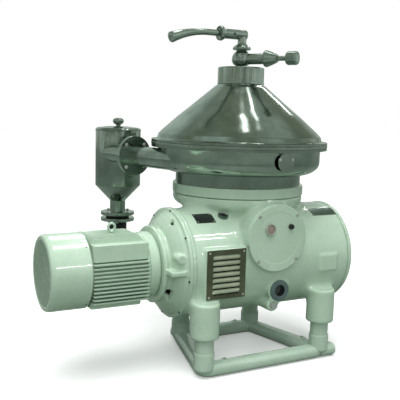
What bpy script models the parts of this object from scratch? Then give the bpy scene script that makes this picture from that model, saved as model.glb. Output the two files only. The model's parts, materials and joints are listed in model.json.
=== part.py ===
# Disc-stack cream separator: a bowl spun by a horizontal motor through a centrifugal clutch and a
# pair of helical gears, with a liftable hood, feed and outlet valves, and a sludge cyclone.
# Metres, +Z up. The spindle stands on x = y = 0 of the "machine" empty, and the floor is z = 0.
import math

import bmesh
import bpy
from mathutils import Matrix, Vector

TURN = 2 * math.pi
TINY = 1e-7
GAP = 0.0003
WIDE_ROUND = 28
ROUND = 24
MIDDLE_ROUND = 14
SMALL_ROUND = 12
LEG_SIDES = 14
SHARP_ANGLE = math.radians(35)

# Overall layout
SHAFT_Y = -0.100
SHAFT_Z = 0.482
MOTOR_END_X = -1.007
COVER_END_X = 0.470
RIM_RADIUS = 0.4315
CYCLONE_X = -0.430
CYCLONE_Y = 0.5365
LID_RADIUS = 0.1225
UP = Vector((0, 0, 1))
RIGHT = Vector((1, 0, 0))
LEFT = Vector((-1, 0, 0))
FRONT = Vector((0, -1, 0))

# Housing
BARREL_RADIUS = 0.247
BARREL_WALL = 0.015
BARREL_LEFT = -0.411
BARREL_RIGHT = 0.440
FLANGE_RADIUS = 0.254
FLANGE_WIDTH = 0.015
SEAT_RADIUS = 0.0450
WEBS = ((-0.130, -0.115), (0.200, 0.215))
CLUTCH_HOLE = 0.150
COLLAR_RADIUS = 0.3215
COLLAR_TOP = 0.8317
COLLAR_INNER = 0.295
COLLAR_FLOOR = (0.785, 0.806)
COLLAR_OUTSIDE = [(0.3215, 0.785), (0.262, 0.735), (0.200, 0.640), (0.130, 0.455)]
COLLAR_INSIDE = [(0.105, 0.455), (0.172, 0.640), (0.232, 0.735), (0.240, 0.785)]
NECK_SEAT = 0.060
SPINDLE_WELL = 0.110
BOSS_RADIUS = 0.154
BOSS_Z = 0.617
BOSS_FACE_Y = -0.3637
BOSS_OPENING = 0.125
GLASS_HOLE = 0.0170
GRILLE_X = (-0.348, -0.151)
GRILLE_Z = (0.356, 0.578)
GRILLE_Y = -0.352
GRILLE_BORDER = 0.026
GRILLE_THICKNESS = 0.004
CAST_PAD_X = (0.269, 0.367)
CAST_PAD_Z = (0.432, 0.513)
CAST_PAD_Y = -0.352
LEVEL_X = 0.042
LEVEL_Z = 0.361
LEVEL_BOSS_Y = -0.3385
LEVEL_BOSS_RADIUS = 0.056
LEVEL_BORE = 0.0303
DRAIN_X = 0.014
DRAIN_Z = 0.291
DRAIN_BOSS_Y = -0.335
DRAIN_BOSS_RADIUS = 0.030
DRAIN_BORE = 0.0123
PEDESTAL_RADIUS = 0.035
PEDESTAL_TOP = 0.3147

# Blank plates on the barrel: left and right ends, lowest and highest angle in degrees
BLANK_PLATES = (("left_blank_plate", (-0.347, -0.251, 54, 69.5), "black"),
                ("right_blank_plate", (0.295, 0.437, 55, 68.5), "plate"))

# Stand
LEGS = {"front_left_leg": (-0.341, -0.330), "front_right_leg": (0.294, -0.330),
        "rear_right_leg": (0.184, 0.130), "rear_left_leg": (-0.232, 0.130)}
BASE_TUBES = {"front_base_tube": ("front_left_leg", "front_right_leg"),
              "right_base_tube": ("front_right_leg", "rear_right_leg"),
              "rear_base_tube": ("rear_right_leg", "rear_left_leg"),
              "left_base_tube": ("rear_left_leg", "front_left_leg")}
LEG_RADIUS = 0.0425
LEG_WALL = 0.004
LEG_TOP = 0.240
LEG_HOLLOW_BOTTOM = 0.075
SLEEVE_RADIUS = 0.047
SLEEVE_HEIGHT = 0.115
SOCKET_RADIUS = 0.066
SOCKET_BOTTOM = 0.183
SOCKET_TOP = 0.345
BASE_TUBE_RADIUS = 0.031
BASE_TUBE_Z = 0.0325

# Drive
SHAFT_RADIUS = 0.020
MOTOR_SHAFT_RADIUS = 0.021
SPINDLE_RADIUS = 0.018
GEAR_STARTS = 8
WHEEL_TEETH = 36
PITCH_RADIUS_GEAR = 0.0278
PITCH_RADIUS_WHEEL = 0.0722
GEAR_LEAD = 0.1008
GEAR_LENGTH = 0.100
WHEEL_WIDTH = 0.020
TOOTH_RISE = 0.0020
TOOTH_DROP = 0.0034
TOOTH_SHARE = 0.34
TIP_SHARE = 0.20
FAN_BLADES = 7
BEARING_BALL_GAP = 0.0003
PINION_BORE = 0.0189

# Motor
STATOR_X = (-0.8340, -0.5673)
STATOR_CORE_RADIUS = 0.132
STATOR_FIN_RADIUS = 0.158
STATOR_BORE = 0.112
STATOR_FINS = 32
WINDING_BORE = 0.0765
CORE_X = (-0.790, -0.620)
ROTOR_RADIUS = 0.0757
BEARING_RADIUS = 0.035
FAN_COVER_RADIUS = 0.165
FAN_COVER_WALL = 0.003
SLOT_HEIGHT = 0.011
SLOT_PITCH = 0.024
SLOT_SPAN = 0.130
EYE_X = -0.696
EYE_RING = 0.0155
EYE_WIRE = 0.0055

# Bowl, catcher and hood
CATCHER_RADIUS = 0.398
CATCHER_BAND = 0.3075
CATCHER_BOTTOM = 0.8323
CATCHER_WALL = 0.004
SLUDGE_Z = 0.947
SLUDGE_START = Vector((-0.333, -0.0894, SLUDGE_Z))
SLUDGE_WAY = Vector((-0.259, 0.966, 0)).normalized()
SLUDGE_OUTER = 0.050
SLUDGE_INNER = 0.0465
SLUDGE_FLANGE = 0.100
SLUDGE_JOINT = 0.3953
SLUDGE_END = 0.630
PORT_Z = 0.9615
PORT_X = 0.004
PORT_HOLE_X = -0.014
PORT_RADIUS = 0.0420
PORT_HOLE_RADIUS = 0.036
PORT_FACE_Y = -0.404
PORT_BOLTS = {"port_hinge_bolt": 0.036, "port_lock_bolt": -0.030}
PORT_BOLT_Z = 0.975
DISCS = 6
DISC_PITCH = 0.013
DISC_THICKNESS = 0.0035
DISC_INNER = 0.060
DISC_OUTER = 0.200
DISC_DROP = 0.131
DISC_TOP = 1.195
SLUDGE_PORTS = 8

# Valves on the hood
VALVE_Z = 1.548
LEVER_START = 0.1058
BRANCH_Z = 1.433
BRANCH_WAY = Vector((0.5, -0.866, 0)).normalized()
VALVE_BORE = 0.0085

# Colours are linear RGB with roughness and metallic value.
FINISHES = {"paint": ((0.44, 0.64, 0.50), 0.35, 0.0),
            "stainless": ((0.42, 0.45, 0.42), 0.22, 1.0),
            "steel": ((0.35, 0.36, 0.36), 0.35, 1.0),
            "brass": ((0.55, 0.40, 0.16), 0.35, 1.0),
            "iron": ((0.16, 0.17, 0.17), 0.50, 1.0),
            "rubber": ((0.015, 0.015, 0.016), 0.60, 0.0),
            "black": ((0.02, 0.02, 0.02), 0.40, 0.0),
            "plate": ((0.55, 0.57, 0.55), 0.30, 1.0),
            "glass": ((0.30, 0.18, 0.13), 0.08, 0.0),
            "copper": ((0.60, 0.28, 0.16), 0.40, 1.0)}


def clear_scene():
    for item in list(bpy.data.objects):
        bpy.data.objects.remove(item, do_unlink=True)


def empty(name, location, parent=None):
    holder = bpy.data.objects.new(name, None)
    holder.location = location
    holder.parent = parent
    bpy.context.collection.objects.link(holder)
    return holder


def finish_material(name, finish):
    colour, roughness, metallic = FINISHES[finish]
    material = bpy.data.materials.new(name + "_" + finish)
    material.use_nodes = True
    surface = material.node_tree.nodes["Principled BSDF"]
    surface.inputs["Base Color"].default_value = (*colour, 1)
    surface.inputs["Roughness"].default_value = roughness
    surface.inputs["Metallic"].default_value = metallic
    return material


def facing(way):
    """The turn that takes local +Z to the given direction; local X stays level."""
    ahead = Vector(way).normalized()
    if abs(ahead.z) > 1 - TINY:
        return Matrix.Identity(4)
    side = UP.cross(ahead).normalized()
    rise = ahead.cross(side)
    return Matrix((side, rise, ahead)).transposed().to_4x4()


def make(name, mesh, finish, place=(0, 0, 0), way=UP, holder=None):
    """Turns a bmesh into an object in machine coordinates, riding on a holder empty if one is given."""
    bmesh.ops.recalc_face_normals(mesh, faces=mesh.faces)
    data = bpy.data.meshes.new(name)
    mesh.to_mesh(data)
    mesh.free()
    data.shade_smooth()
    data.set_sharp_from_angle(angle=SHARP_ANGLE)
    data.materials.append(finish_material(name, finish))
    item = bpy.data.objects.new(name, data)
    bpy.context.collection.objects.link(item)
    item.parent = holder or machine
    if holder:
        item.matrix_parent_inverse = Matrix.Translation(-holder.location)
    item.matrix_basis = Matrix.Translation(place) @ facing(way)
    return item


def hide(item):
    item.hide_render = True
    item.display_type = "WIRE"
    return item


def combine(target, operand, operation):
    """Every operand is closed, so the manifold solver joins them without slivers."""
    step = target.modifiers.new(operand.name, "BOOLEAN")
    step.operation = operation
    step.solver = "MANIFOLD"
    step.object = hide(operand)
    return target


def cut(target, operand):
    return combine(target, operand, "DIFFERENCE")


def join(target, operand):
    return combine(target, operand, "UNION")


def skin(mesh, rings, closed):
    """Quads between successive rings, with triangles round a ring of one point."""
    following = rings[1:] + (rings[:1] if closed else [])
    for low, high in zip(rings, following):
        count = max(len(low), len(high))
        if count == 1:
            continue
        for step in range(count):
            after = (step + 1) % count
            corners = (low[step % len(low)], low[after % len(low)],
                       high[after % len(high)], high[step % len(high)])
            mesh.faces.new(list(dict.fromkeys(corners)))


def ring_of(mesh, radius, height, sides):
    if radius < TINY:
        return [mesh.verts.new((0, 0, height))]
    angles = [TURN * step / sides for step in range(sides)]
    return [mesh.verts.new((radius * math.cos(a), radius * math.sin(a), height)) for a in angles]


def lathe(name, profile, finish, place=(0, 0, 0), way=UP, holder=None, sides=ROUND):
    """A turned solid from (radius, height) points that go once round its section."""
    mesh = bmesh.new()
    rings = [ring_of(mesh, radius, height, sides) for radius, height in profile]
    skin(mesh, rings, True)
    return make(name, mesh, finish, place, way, holder)


def shaft(name, radius, start, end, finish, place=(0, 0, 0), way=UP, holder=None,
          sides=SMALL_ROUND):
    profile = [(0, start), (radius, start), (radius, end), (0, end)]
    return lathe(name, profile, finish, place, way, holder, sides)


def collar(name, inner, outer, start, end, finish, place=(0, 0, 0), way=UP, holder=None,
           sides=ROUND):
    profile = [(inner, start), (outer, start), (outer, end), (inner, end)]
    return lathe(name, profile, finish, place, way, holder, sides)


def box(name, low, high, finish, place=(0, 0, 0), way=UP, holder=None):
    mesh = bmesh.new()
    bmesh.ops.create_cube(mesh, size=1)
    size = Vector(high) - Vector(low)
    middle = (Vector(high) + Vector(low)) / 2
    bmesh.ops.transform(mesh, matrix=Matrix.Translation(middle) @ Matrix.Diagonal((*size, 1)),
                        verts=mesh.verts)
    return make(name, mesh, finish, place, way, holder)


def polar_ring(mesh, outline, turn, height):
    """One ring of vertices from (radius, angle) points, turned about Z."""
    return [mesh.verts.new((radius * math.cos(angle + turn), radius * math.sin(angle + turn), height))
            for radius, angle in outline]


def twisted(name, outline, heights, twist, bore, finish, place, way, holder=None):
    """An outline of (radius, angle) points swept along +Z with a round bore, turning by twist per metre."""
    mesh = bmesh.new()
    inside = [(bore, angle) for _, angle in outline]
    rings = [polar_ring(mesh, outline, twist * height, height) for height in heights]
    rings += [polar_ring(mesh, inside, twist * height, height) for height in (heights[-1], heights[0])]
    skin(mesh, rings, True)
    return make(name, mesh, finish, place, way, holder)


def sweep(name, route, radii, finish, holder=None, sides=SMALL_ROUND, loop=False):
    """A round bar through the route's points with a radius at each; loop joins the ends."""
    mesh = bmesh.new()
    rings = []
    count = len(route)
    for index, (point, radius) in enumerate(zip(route, radii)):
        before = route[(index - 1) % count] if loop or index else point
        after = route[(index + 1) % count] if loop or index < count - 1 else point
        turn = facing(after - before)
        angles = [TURN * step / sides for step in range(sides)]
        spokes = [Vector((radius * math.cos(a), radius * math.sin(a), 0)) for a in angles]
        rings.append([mesh.verts.new(point + turn @ spoke) for spoke in spokes])
    skin(mesh, rings, loop)
    if not loop:
        mesh.faces.new(rings[0])
        mesh.faces.new(rings[-1])
    return make(name, mesh, finish, (0, 0, 0), UP, holder)


def tooth_outline(teeth, pitch_radius, first):
    """Points round a toothed wheel: four to a tooth, the first tooth centred on the angle first."""
    outline = []
    for tooth in range(teeth):
        centre = first + TURN * tooth / teeth
        half_foot = TURN / teeth * TOOTH_SHARE / 2 * (1 + TIP_SHARE)
        half_tip = TURN / teeth * TOOTH_SHARE / 2 * (1 - TIP_SHARE)
        root = pitch_radius - TOOTH_DROP
        tip = pitch_radius + TOOTH_RISE
        outline += [(root, centre - half_foot), (tip, centre - half_tip),
                    (tip, centre + half_tip), (root, centre + half_foot)]
    return outline


def on_drive(x=0):
    return (x, SHAFT_Y, SHAFT_Z)


def barrel():
    inner = BARREL_RADIUS - BARREL_WALL
    inside_left = BARREL_LEFT + FLANGE_WIDTH
    profile = [(CLUTCH_HOLE, BARREL_LEFT), (FLANGE_RADIUS, BARREL_LEFT), (FLANGE_RADIUS, inside_left),
               (BARREL_RADIUS, inside_left), (BARREL_RADIUS, BARREL_RIGHT), (inner, BARREL_RIGHT)]
    for web_left, web_right in reversed(WEBS):
        profile += [(inner, web_right), (SEAT_RADIUS, web_right),
                    (SEAT_RADIUS, web_left), (inner, web_left)]
    profile += [(inner, inside_left), (CLUTCH_HOLE, inside_left)]
    return lathe("main_housing", profile, "paint", on_drive(), RIGHT)


def collar_shell():
    floor_low, floor_high = COLLAR_FLOOR
    profile = [(COLLAR_INNER, COLLAR_TOP), (COLLAR_RADIUS, COLLAR_TOP), *COLLAR_OUTSIDE, *COLLAR_INSIDE,
               (NECK_SEAT, floor_low), (NECK_SEAT, floor_high), (COLLAR_INNER, floor_high)]
    return lathe("collar_shell", profile, "paint")


def leg_sockets():
    for name, (x, y) in LEGS.items():
        yield shaft(name + "_socket", SOCKET_RADIUS, SOCKET_BOTTOM, SOCKET_TOP, "paint", (x, y, 0),
                    sides=LEG_SIDES)


def housing_additions():
    """What is cast onto the barrel, with the barrel's cavity taken out of it."""
    reach = 0.10
    shell = collar_shell()
    boss = shaft("boss", BOSS_RADIUS, -BOSS_FACE_Y - reach, -BOSS_FACE_Y, "paint", (0, 0, BOSS_Z),
                 FRONT, sides=ROUND)
    grille_pad = box("grille_pad", (GRILLE_X[0] - 0.004, GRILLE_Y + GRILLE_THICKNESS, GRILLE_Z[0] - 0.004),
                     (GRILLE_X[1] + 0.004, GRILLE_Y + reach, GRILLE_Z[1] + 0.004), "paint")
    cast_pad = box("cast_pad", (CAST_PAD_X[0], CAST_PAD_Y, CAST_PAD_Z[0]),
                   (CAST_PAD_X[1], CAST_PAD_Y + reach / 2, CAST_PAD_Z[1]), "paint")
    level_boss = shaft("level_boss", LEVEL_BOSS_RADIUS, -LEVEL_BOSS_Y - reach / 2, -LEVEL_BOSS_Y, "paint",
                       (LEVEL_X, 0, LEVEL_Z), FRONT)
    drain_boss = shaft("drain_boss", DRAIN_BOSS_RADIUS, -DRAIN_BOSS_Y - reach, -DRAIN_BOSS_Y, "paint",
                       (DRAIN_X, 0, DRAIN_Z), FRONT)
    for addition in (boss, grille_pad, cast_pad, level_boss, drain_boss, *leg_sockets()):
        join(shell, addition)
    cavity = shaft("cavity", BARREL_RADIUS - BARREL_WALL - GAP, BARREL_LEFT + FLANGE_WIDTH + 0.001,
                   BARREL_RIGHT - 0.001, "paint", on_drive(), RIGHT, sides=ROUND)
    return cut(shell, cavity)


def pedestal():
    """The foot bearing's seat, which ends in the barrel's wall."""
    foot = shaft("pedestal", PEDESTAL_RADIUS, SOCKET_BOTTOM, PEDESTAL_TOP, "paint", (0, 0, 0))
    envelope = shaft("envelope", BARREL_RADIUS - BARREL_WALL / 2, BARREL_LEFT, BARREL_RIGHT, "paint",
                     on_drive(), RIGHT, sides=ROUND)
    return combine(foot, envelope, "INTERSECT")


def housing_openings():
    through = 0.20
    yield shaft("spindle_well", SPINDLE_WELL, 0.560, COLLAR_FLOOR[0], "paint", sides=ROUND)
    past = 0.01
    yield shaft("cover_opening", BOSS_OPENING, through, -BOSS_FACE_Y + past, "paint", (0, 0, BOSS_Z), FRONT)
    yield shaft("level_bore", LEVEL_BORE, through, -LEVEL_BOSS_Y + past, "paint", (LEVEL_X, 0, LEVEL_Z),
                FRONT, sides=ROUND)
    yield shaft("drain_bore", DRAIN_BORE, through, -DRAIN_BOSS_Y + past, "paint", (DRAIN_X, 0, DRAIN_Z),
                FRONT, sides=MIDDLE_ROUND)
    yield box("grille_opening", (GRILLE_X[0] + GRILLE_BORDER, GRILLE_Y - 0.01, GRILLE_Z[0] + GRILLE_BORDER),
              (GRILLE_X[1] - GRILLE_BORDER, GRILLE_Y + 0.10, GRILLE_Z[1] - GRILLE_BORDER), "paint")
    for name, (x, y) in LEGS.items():
        yield shaft(name + "_bore", LEG_RADIUS + GAP, SOCKET_BOTTOM - past, LEG_TOP + GAP, "paint",
                    (x, y, 0), sides=LEG_SIDES)


def main_housing():
    body = barrel()
    join(body, housing_additions())
    join(body, pedestal())
    for opening in housing_openings():
        cut(body, opening)


def end_cover():
    start = BARREL_RIGHT + GAP
    profile = [(0, start), (0.250, start), (0.250, start + 0.012), (0.240, start + 0.022),
               (0.205, COVER_END_X), (0, COVER_END_X)]
    lathe("end_cover", profile, "paint", on_drive(), RIGHT)


def stand_frame():
    """The welded stand: four legs with foot sleeves, hollow above the base, and four base tubes."""
    bore = LEG_RADIUS - LEG_WALL
    profile = [(0, 0), (SLEEVE_RADIUS, 0), (SLEEVE_RADIUS, SLEEVE_HEIGHT), (LEG_RADIUS, SLEEVE_HEIGHT),
               (LEG_RADIUS, LEG_TOP), (bore, LEG_TOP), (bore, LEG_HOLLOW_BOTTOM), (0, LEG_HOLLOW_BOTTOM)]
    parts = [lathe(name, profile, "paint", (x, y, 0), sides=LEG_SIDES) for name, (x, y) in LEGS.items()]
    for name, (first, last) in BASE_TUBES.items():
        start = Vector((*LEGS[first], BASE_TUBE_Z))
        end = Vector((*LEGS[last], BASE_TUBE_Z))
        inset = SLEEVE_RADIUS / 2
        length = (end - start).length - inset
        parts.append(shaft(name, BASE_TUBE_RADIUS, inset, length, "paint", start, end - start))
    frame = parts[0]
    frame.name = "stand_frame"
    for part in parts[1:]:
        join(frame, part)


def motor_lantern():
    profile = [(0.120, -0.5160), (0.175, -0.5160), (0.175, -0.4880), (0.190, -0.4780), (0.238, -0.4300),
               (0.254, -0.4280), (0.254, -0.4113), (0.222, -0.4113), (0.222, -0.4300), (0.174, -0.4780),
               (0.160, -0.4870), (0.120, -0.4870)]
    lantern = lathe("motor_lantern", profile, "paint", on_drive(), RIGHT)
    for name, side in (("front_window", -1), ("rear_window", 1)):
        low = (-0.482, SHAFT_Y + side * 0.19 - 0.08, SHAFT_Z - 0.125)
        high = (-0.436, SHAFT_Y + side * 0.19 + 0.08, SHAFT_Z - 0.035)
        cut(lantern, box(name, low, high, "paint"))


def motor_frame():
    outline = []
    for fin in range(STATOR_FINS):
        centre = TURN * fin / STATOR_FINS
        half_foot = TURN / STATOR_FINS * 0.17
        half_tip = TURN / STATOR_FINS * 0.12
        outline += [(STATOR_CORE_RADIUS, centre - half_foot), (STATOR_FIN_RADIUS, centre - half_tip),
                    (STATOR_FIN_RADIUS, centre + half_tip), (STATOR_CORE_RADIUS, centre + half_foot)]
    twisted("motor_stator_frame", outline, STATOR_X, 0, STATOR_BORE, "paint", on_drive(), RIGHT)
    collar("stator_core", WINDING_BORE, STATOR_BORE - GAP, *CORE_X, "copper", on_drive(), RIGHT)


def motor_end_shield():
    profile = [(0.138, -0.5670), (0.150, -0.5670), (0.150, -0.5163), (0.1197, -0.5163), (0.1197, -0.5050),
               (0.0353, -0.5050), (0.0353, -0.5450), (0.050, -0.5450), (0.050, -0.5220), (0.138, -0.5220)]
    lathe("motor_end_shield", profile, "paint", on_drive(), RIGHT)
    bearing("motor_front_bearing", MOTOR_SHAFT_RADIUS, BEARING_RADIUS, -0.5430, -0.5200)


def motor_rear_shield():
    spigot = STATOR_BORE - GAP
    profile = [(0.0353, -0.8480), (0.138, -0.8480), (0.138, -0.8343), (spigot, -0.8343),
               (spigot, -0.8260), (0.0353, -0.8260)]
    shield = lathe("motor_rear_shield", profile, "paint", on_drive(), RIGHT)
    start, reach = 0.10, FAN_COVER_RADIUS - FAN_COVER_WALL - 0.002
    lug = 0.012
    for quarter in range(4):
        tab = box("lug", (start, -lug, -0.8470), (reach, lug, -0.8350), "paint", on_drive(), RIGHT)
        tab.matrix_basis = tab.matrix_basis @ Matrix.Rotation(TURN * quarter / 4, 4, "Z")
        join(shield, tab)
    bearing("motor_rear_bearing", MOTOR_SHAFT_RADIUS, BEARING_RADIUS, -0.8480, -0.8260)


def fan_cover():
    inner = FAN_COVER_RADIUS - FAN_COVER_WALL
    end = MOTOR_END_X
    profile = [(0, end), (0.150, end), (0.1615, end + 0.004), (FAN_COVER_RADIUS, end + 0.014),
               (FAN_COVER_RADIUS, STATOR_X[0] - GAP), (inner, STATOR_X[0] - GAP), (inner, end + 0.014),
               (0.158, end + 0.006), (0.150, end + 0.003), (0, end + 0.003)]
    cover = lathe("fan_cover", profile, "paint", on_drive(), RIGHT)
    rows = int(SLOT_SPAN / SLOT_PITCH)
    for row in range(-rows, rows + 1):
        height = row * SLOT_PITCH
        reach = math.sqrt(SLOT_SPAN ** 2 - height ** 2)
        for side in (-1, 1):
            near, far = sorted((side * 0.004, side * reach))
            slot = box("slot", (end - 0.01, SHAFT_Y + near, SHAFT_Z + height - SLOT_HEIGHT / 2),
                       (end + 0.01, SHAFT_Y + far, SHAFT_Z + height + SLOT_HEIGHT / 2), "paint")
            cut(cover, slot)


def lifting_eye():
    foot = SHAFT_Z + STATOR_FIN_RADIUS + GAP
    middle = Vector((EYE_X, SHAFT_Y, foot + 0.008 + EYE_RING))
    links = 16
    route = [middle + EYE_RING * Vector((math.cos(TURN * step / links), 0, math.sin(TURN * step / links)))
             for step in range(links)]
    eye = sweep("lifting_eye", route, [EYE_WIRE] * len(route), "steel", sides=8, loop=True)
    join(eye, shaft("eye_foot", 0.011, foot, foot + 0.010, "steel", (EYE_X, SHAFT_Y, 0), sides=12))


def terminal_box():
    near = SHAFT_Y + STATOR_FIN_RADIUS + GAP
    low = SHAFT_Z - 0.055
    body = box("terminal_box", (-0.760, near, low), (-0.640, near + 0.062, SHAFT_Z + 0.055), "paint")
    join(body, shaft("cable_gland", 0.012, low - 0.022, low + 0.010, "black", (-0.700, near + 0.031, 0),
                     sides=16))


def bearing(name, bore, outer, start, end, place=None, way=RIGHT):
    collar(name, bore + BEARING_BALL_GAP, outer - GAP, start, end, "steel", place or on_drive(), way)


def gear_cover():
    face = -BOSS_FACE_Y + GAP
    cover = shaft("gear_cover", BOSS_RADIUS, face, face + 0.012, "paint", (0, 0, BOSS_Z), FRONT,
                  sides=ROUND)
    glass = (-0.044, 0, 0.659)
    probe = (0.066, 0, 0.667)
    cut(cover, shaft("glass_hole", GLASS_HOLE, face - 0.01, face + 0.03, "paint", glass, FRONT))
    front = face + 0.012 + GAP
    collar("sight_glass_bezel", GLASS_HOLE, 0.0270, front, front + 0.010, "plate", glass, FRONT,
           sides=MIDDLE_ROUND)
    shaft("sight_glass", GLASS_HOLE - 2 * GAP, face + 0.002, front + 0.006, "glass", glass, FRONT)
    shaft("speed_probe", 0.0100, front, front + 0.012, "black", probe, FRONT, sides=16)


def oil_fittings():
    seat = -LEVEL_BOSS_Y + GAP
    place = (LEVEL_X, 0, LEVEL_Z)
    profile = [(0.0240, seat - 0.020), (0.0300, seat - 0.020), (0.0300, seat), (0.0500, seat),
               (0.0500, seat + 0.008), (0.0440, seat + 0.012), (0.0240, seat + 0.012)]
    lathe("oil_level_ring", profile, "plate", place, FRONT, sides=MIDDLE_ROUND)
    shaft("oil_level_glass", 0.0232, seat - 0.018, seat - 0.008, "glass", place, FRONT)
    plug_seat = -DRAIN_BOSS_Y + GAP
    plug = [(0, plug_seat - 0.020), (0.0120, plug_seat - 0.020), (0.0120, plug_seat), (0.0200, plug_seat),
            (0.0200, plug_seat + 0.008), (0, plug_seat + 0.008)]
    lathe("oil_drain_plug", plug, "steel", (DRAIN_X, 0, DRAIN_Z), FRONT, sides=MIDDLE_ROUND)
    angle = math.radians(63)
    outward = Vector((0, -math.cos(angle), math.sin(angle)))
    seat = Vector(on_drive(-0.199)) + outward * (BARREL_RADIUS + GAP)
    shaft("oil_filler_cap", 0.025, 0, 0.014, "black", seat, outward)


def vent_grille():
    back = GRILLE_Y + GRILLE_THICKNESS - GAP
    frame = box("vent_grille", (GRILLE_X[0], GRILLE_Y, GRILLE_Z[0]),
                (GRILLE_X[1], back, GRILLE_Z[1]), "iron")
    border = GRILLE_BORDER - 0.004
    window = box("window", (GRILLE_X[0] + border, GRILLE_Y - 0.01, GRILLE_Z[0] + border),
                 (GRILLE_X[1] - border, GRILLE_Y + 0.02, GRILLE_Z[1] - border), "iron")
    cut(frame, window)
    louvres = 7
    pitch = (GRILLE_Z[1] - GRILLE_Z[0] - 2 * border) / (louvres + 1)
    for louvre in range(louvres):
        height = GRILLE_Z[0] + border + pitch * (louvre + 1)
        slat = box("louvre", (GRILLE_X[0] + border - 0.004, GRILLE_Y - 0.004, height - 0.004),
                   (GRILLE_X[1] - border + 0.004, back - 0.0005, height + 0.004), "iron")
        join(frame, slat)


def curved_plate(name, left, right, low, high, finish):
    """A thin plate bent round the barrel between two angles above the horizontal front."""
    mesh = bmesh.new()
    steps = 6
    inner, outer = BARREL_RADIUS + GAP, BARREL_RADIUS + GAP + 0.0015
    rings = []
    for step in range(steps + 1):
        angle = math.radians(low + (high - low) * step / steps)
        ring = []
        for radius, x in ((inner, left), (inner, right), (outer, right), (outer, left)):
            y = SHAFT_Y - radius * math.cos(angle)
            z = SHAFT_Z + radius * math.sin(angle)
            ring.append(mesh.verts.new((x, y, z)))
        rings.append(ring)
    skin(mesh, rings, False)
    mesh.faces.new(rings[0])
    mesh.faces.new(rings[-1])
    make(name, mesh, finish)


def drive_shaft_parts(holder):
    shaft("drive_shaft", SHAFT_RADIUS, -0.345, 0.225, "steel", on_drive(), RIGHT, holder)
    twist = math.tan(math.atan(GEAR_LEAD / (TURN * PITCH_RADIUS_GEAR))) / PITCH_RADIUS_WHEEL
    layers = 1
    heights = [WHEEL_WIDTH * (step / layers - 0.5) for step in range(layers + 1)]
    outline = tooth_outline(WHEEL_TEETH, PITCH_RADIUS_WHEEL, TURN / WHEEL_TEETH / 2)
    twisted("helical_wheel", outline, heights, twist, SHAFT_RADIUS + GAP, "brass", on_drive(), RIGHT,
            holder)
    drum = [(0.0203, -0.3450), (0.0400, -0.3450), (0.0400, -0.3180), (0.1180, -0.3180), (0.1180, -0.3920),
            (0.1300, -0.3920), (0.1300, -0.3060), (0.0400, -0.3060), (0.0400, -0.3000), (0.0203, -0.3000)]
    lathe("clutch_drum", drum, "iron", on_drive(), RIGHT, holder)
    for name, (left, right) in zip(("drive_left_bearing", "drive_right_bearing"), WEBS):
        bearing(name, SHAFT_RADIUS, SEAT_RADIUS, left - 0.003, right + 0.003)


def rotor_parts(holder):
    place = on_drive()
    shaft("motor_shaft", MOTOR_SHAFT_RADIUS, -0.970, -0.350, "steel", place, RIGHT, holder)
    bore = MOTOR_SHAFT_RADIUS + GAP
    collar("rotor_core", bore, ROTOR_RADIUS, *CORE_X, "iron", place, RIGHT, holder)
    hub = [(bore, -0.4000), (0.0500, -0.4000), (0.0500, -0.3850), (0.1100, -0.3850), (0.1100, -0.3300),
           (0.0850, -0.3300), (0.0850, -0.3750), (bore, -0.3750)]
    lathe("clutch_shoes", hub, "iron", place, RIGHT, holder)
    disc = [(bore, -0.9550), (0.0350, -0.9550), (0.0350, -0.9120), (0.1300, -0.9120), (0.1300, -0.9050),
            (bore, -0.9050)]
    fan = lathe("cooling_fan", disc, "black", place, RIGHT, holder)
    for blade in range(FAN_BLADES):
        angle = TURN * blade / FAN_BLADES
        vane = box("blade", (-0.0015, 0.030, -0.950), (0.0015, 0.128, -0.908), "black", place, RIGHT,
                   holder)
        vane.matrix_basis = vane.matrix_basis @ Matrix.Rotation(angle, 4, "Z")
        join(fan, vane)


def spindle_parts(holder):
    stem = [(0, 0.3185), (0.0120, 0.3185), (0.0120, 0.3580), (SPINDLE_RADIUS, 0.3580),
            (SPINDLE_RADIUS, 0.7600), (0.0225, 0.7800), (0.0225, 0.8150), (0.0300, 0.8250),
            (0.0300, 0.9200), (0.0250, 0.9245), (0.0250, 0.9850), (0, 0.9850)]
    lathe("bowl_spindle", stem, "steel", holder=holder, sides=SMALL_ROUND)
    layers = 10
    heights = [GEAR_LENGTH * (step / layers - 0.5) for step in range(layers + 1)]
    outline = tooth_outline(GEAR_STARTS, PITCH_RADIUS_GEAR, -TURN / 4)
    twisted("helical_pinion", outline, heights, TURN / GEAR_LEAD, PINION_BORE, "steel",
            (0, 0, SHAFT_Z), UP, holder)
    bearing("foot_bearing", 0.0120, 0.0325, PEDESTAL_TOP + GAP, 0.3450, (0, 0, 0), UP)
    bearing("neck_bearing", 0.0225, NECK_SEAT, COLLAR_FLOOR[0], COLLAR_FLOOR[1], (0, 0, 0), UP)


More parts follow.
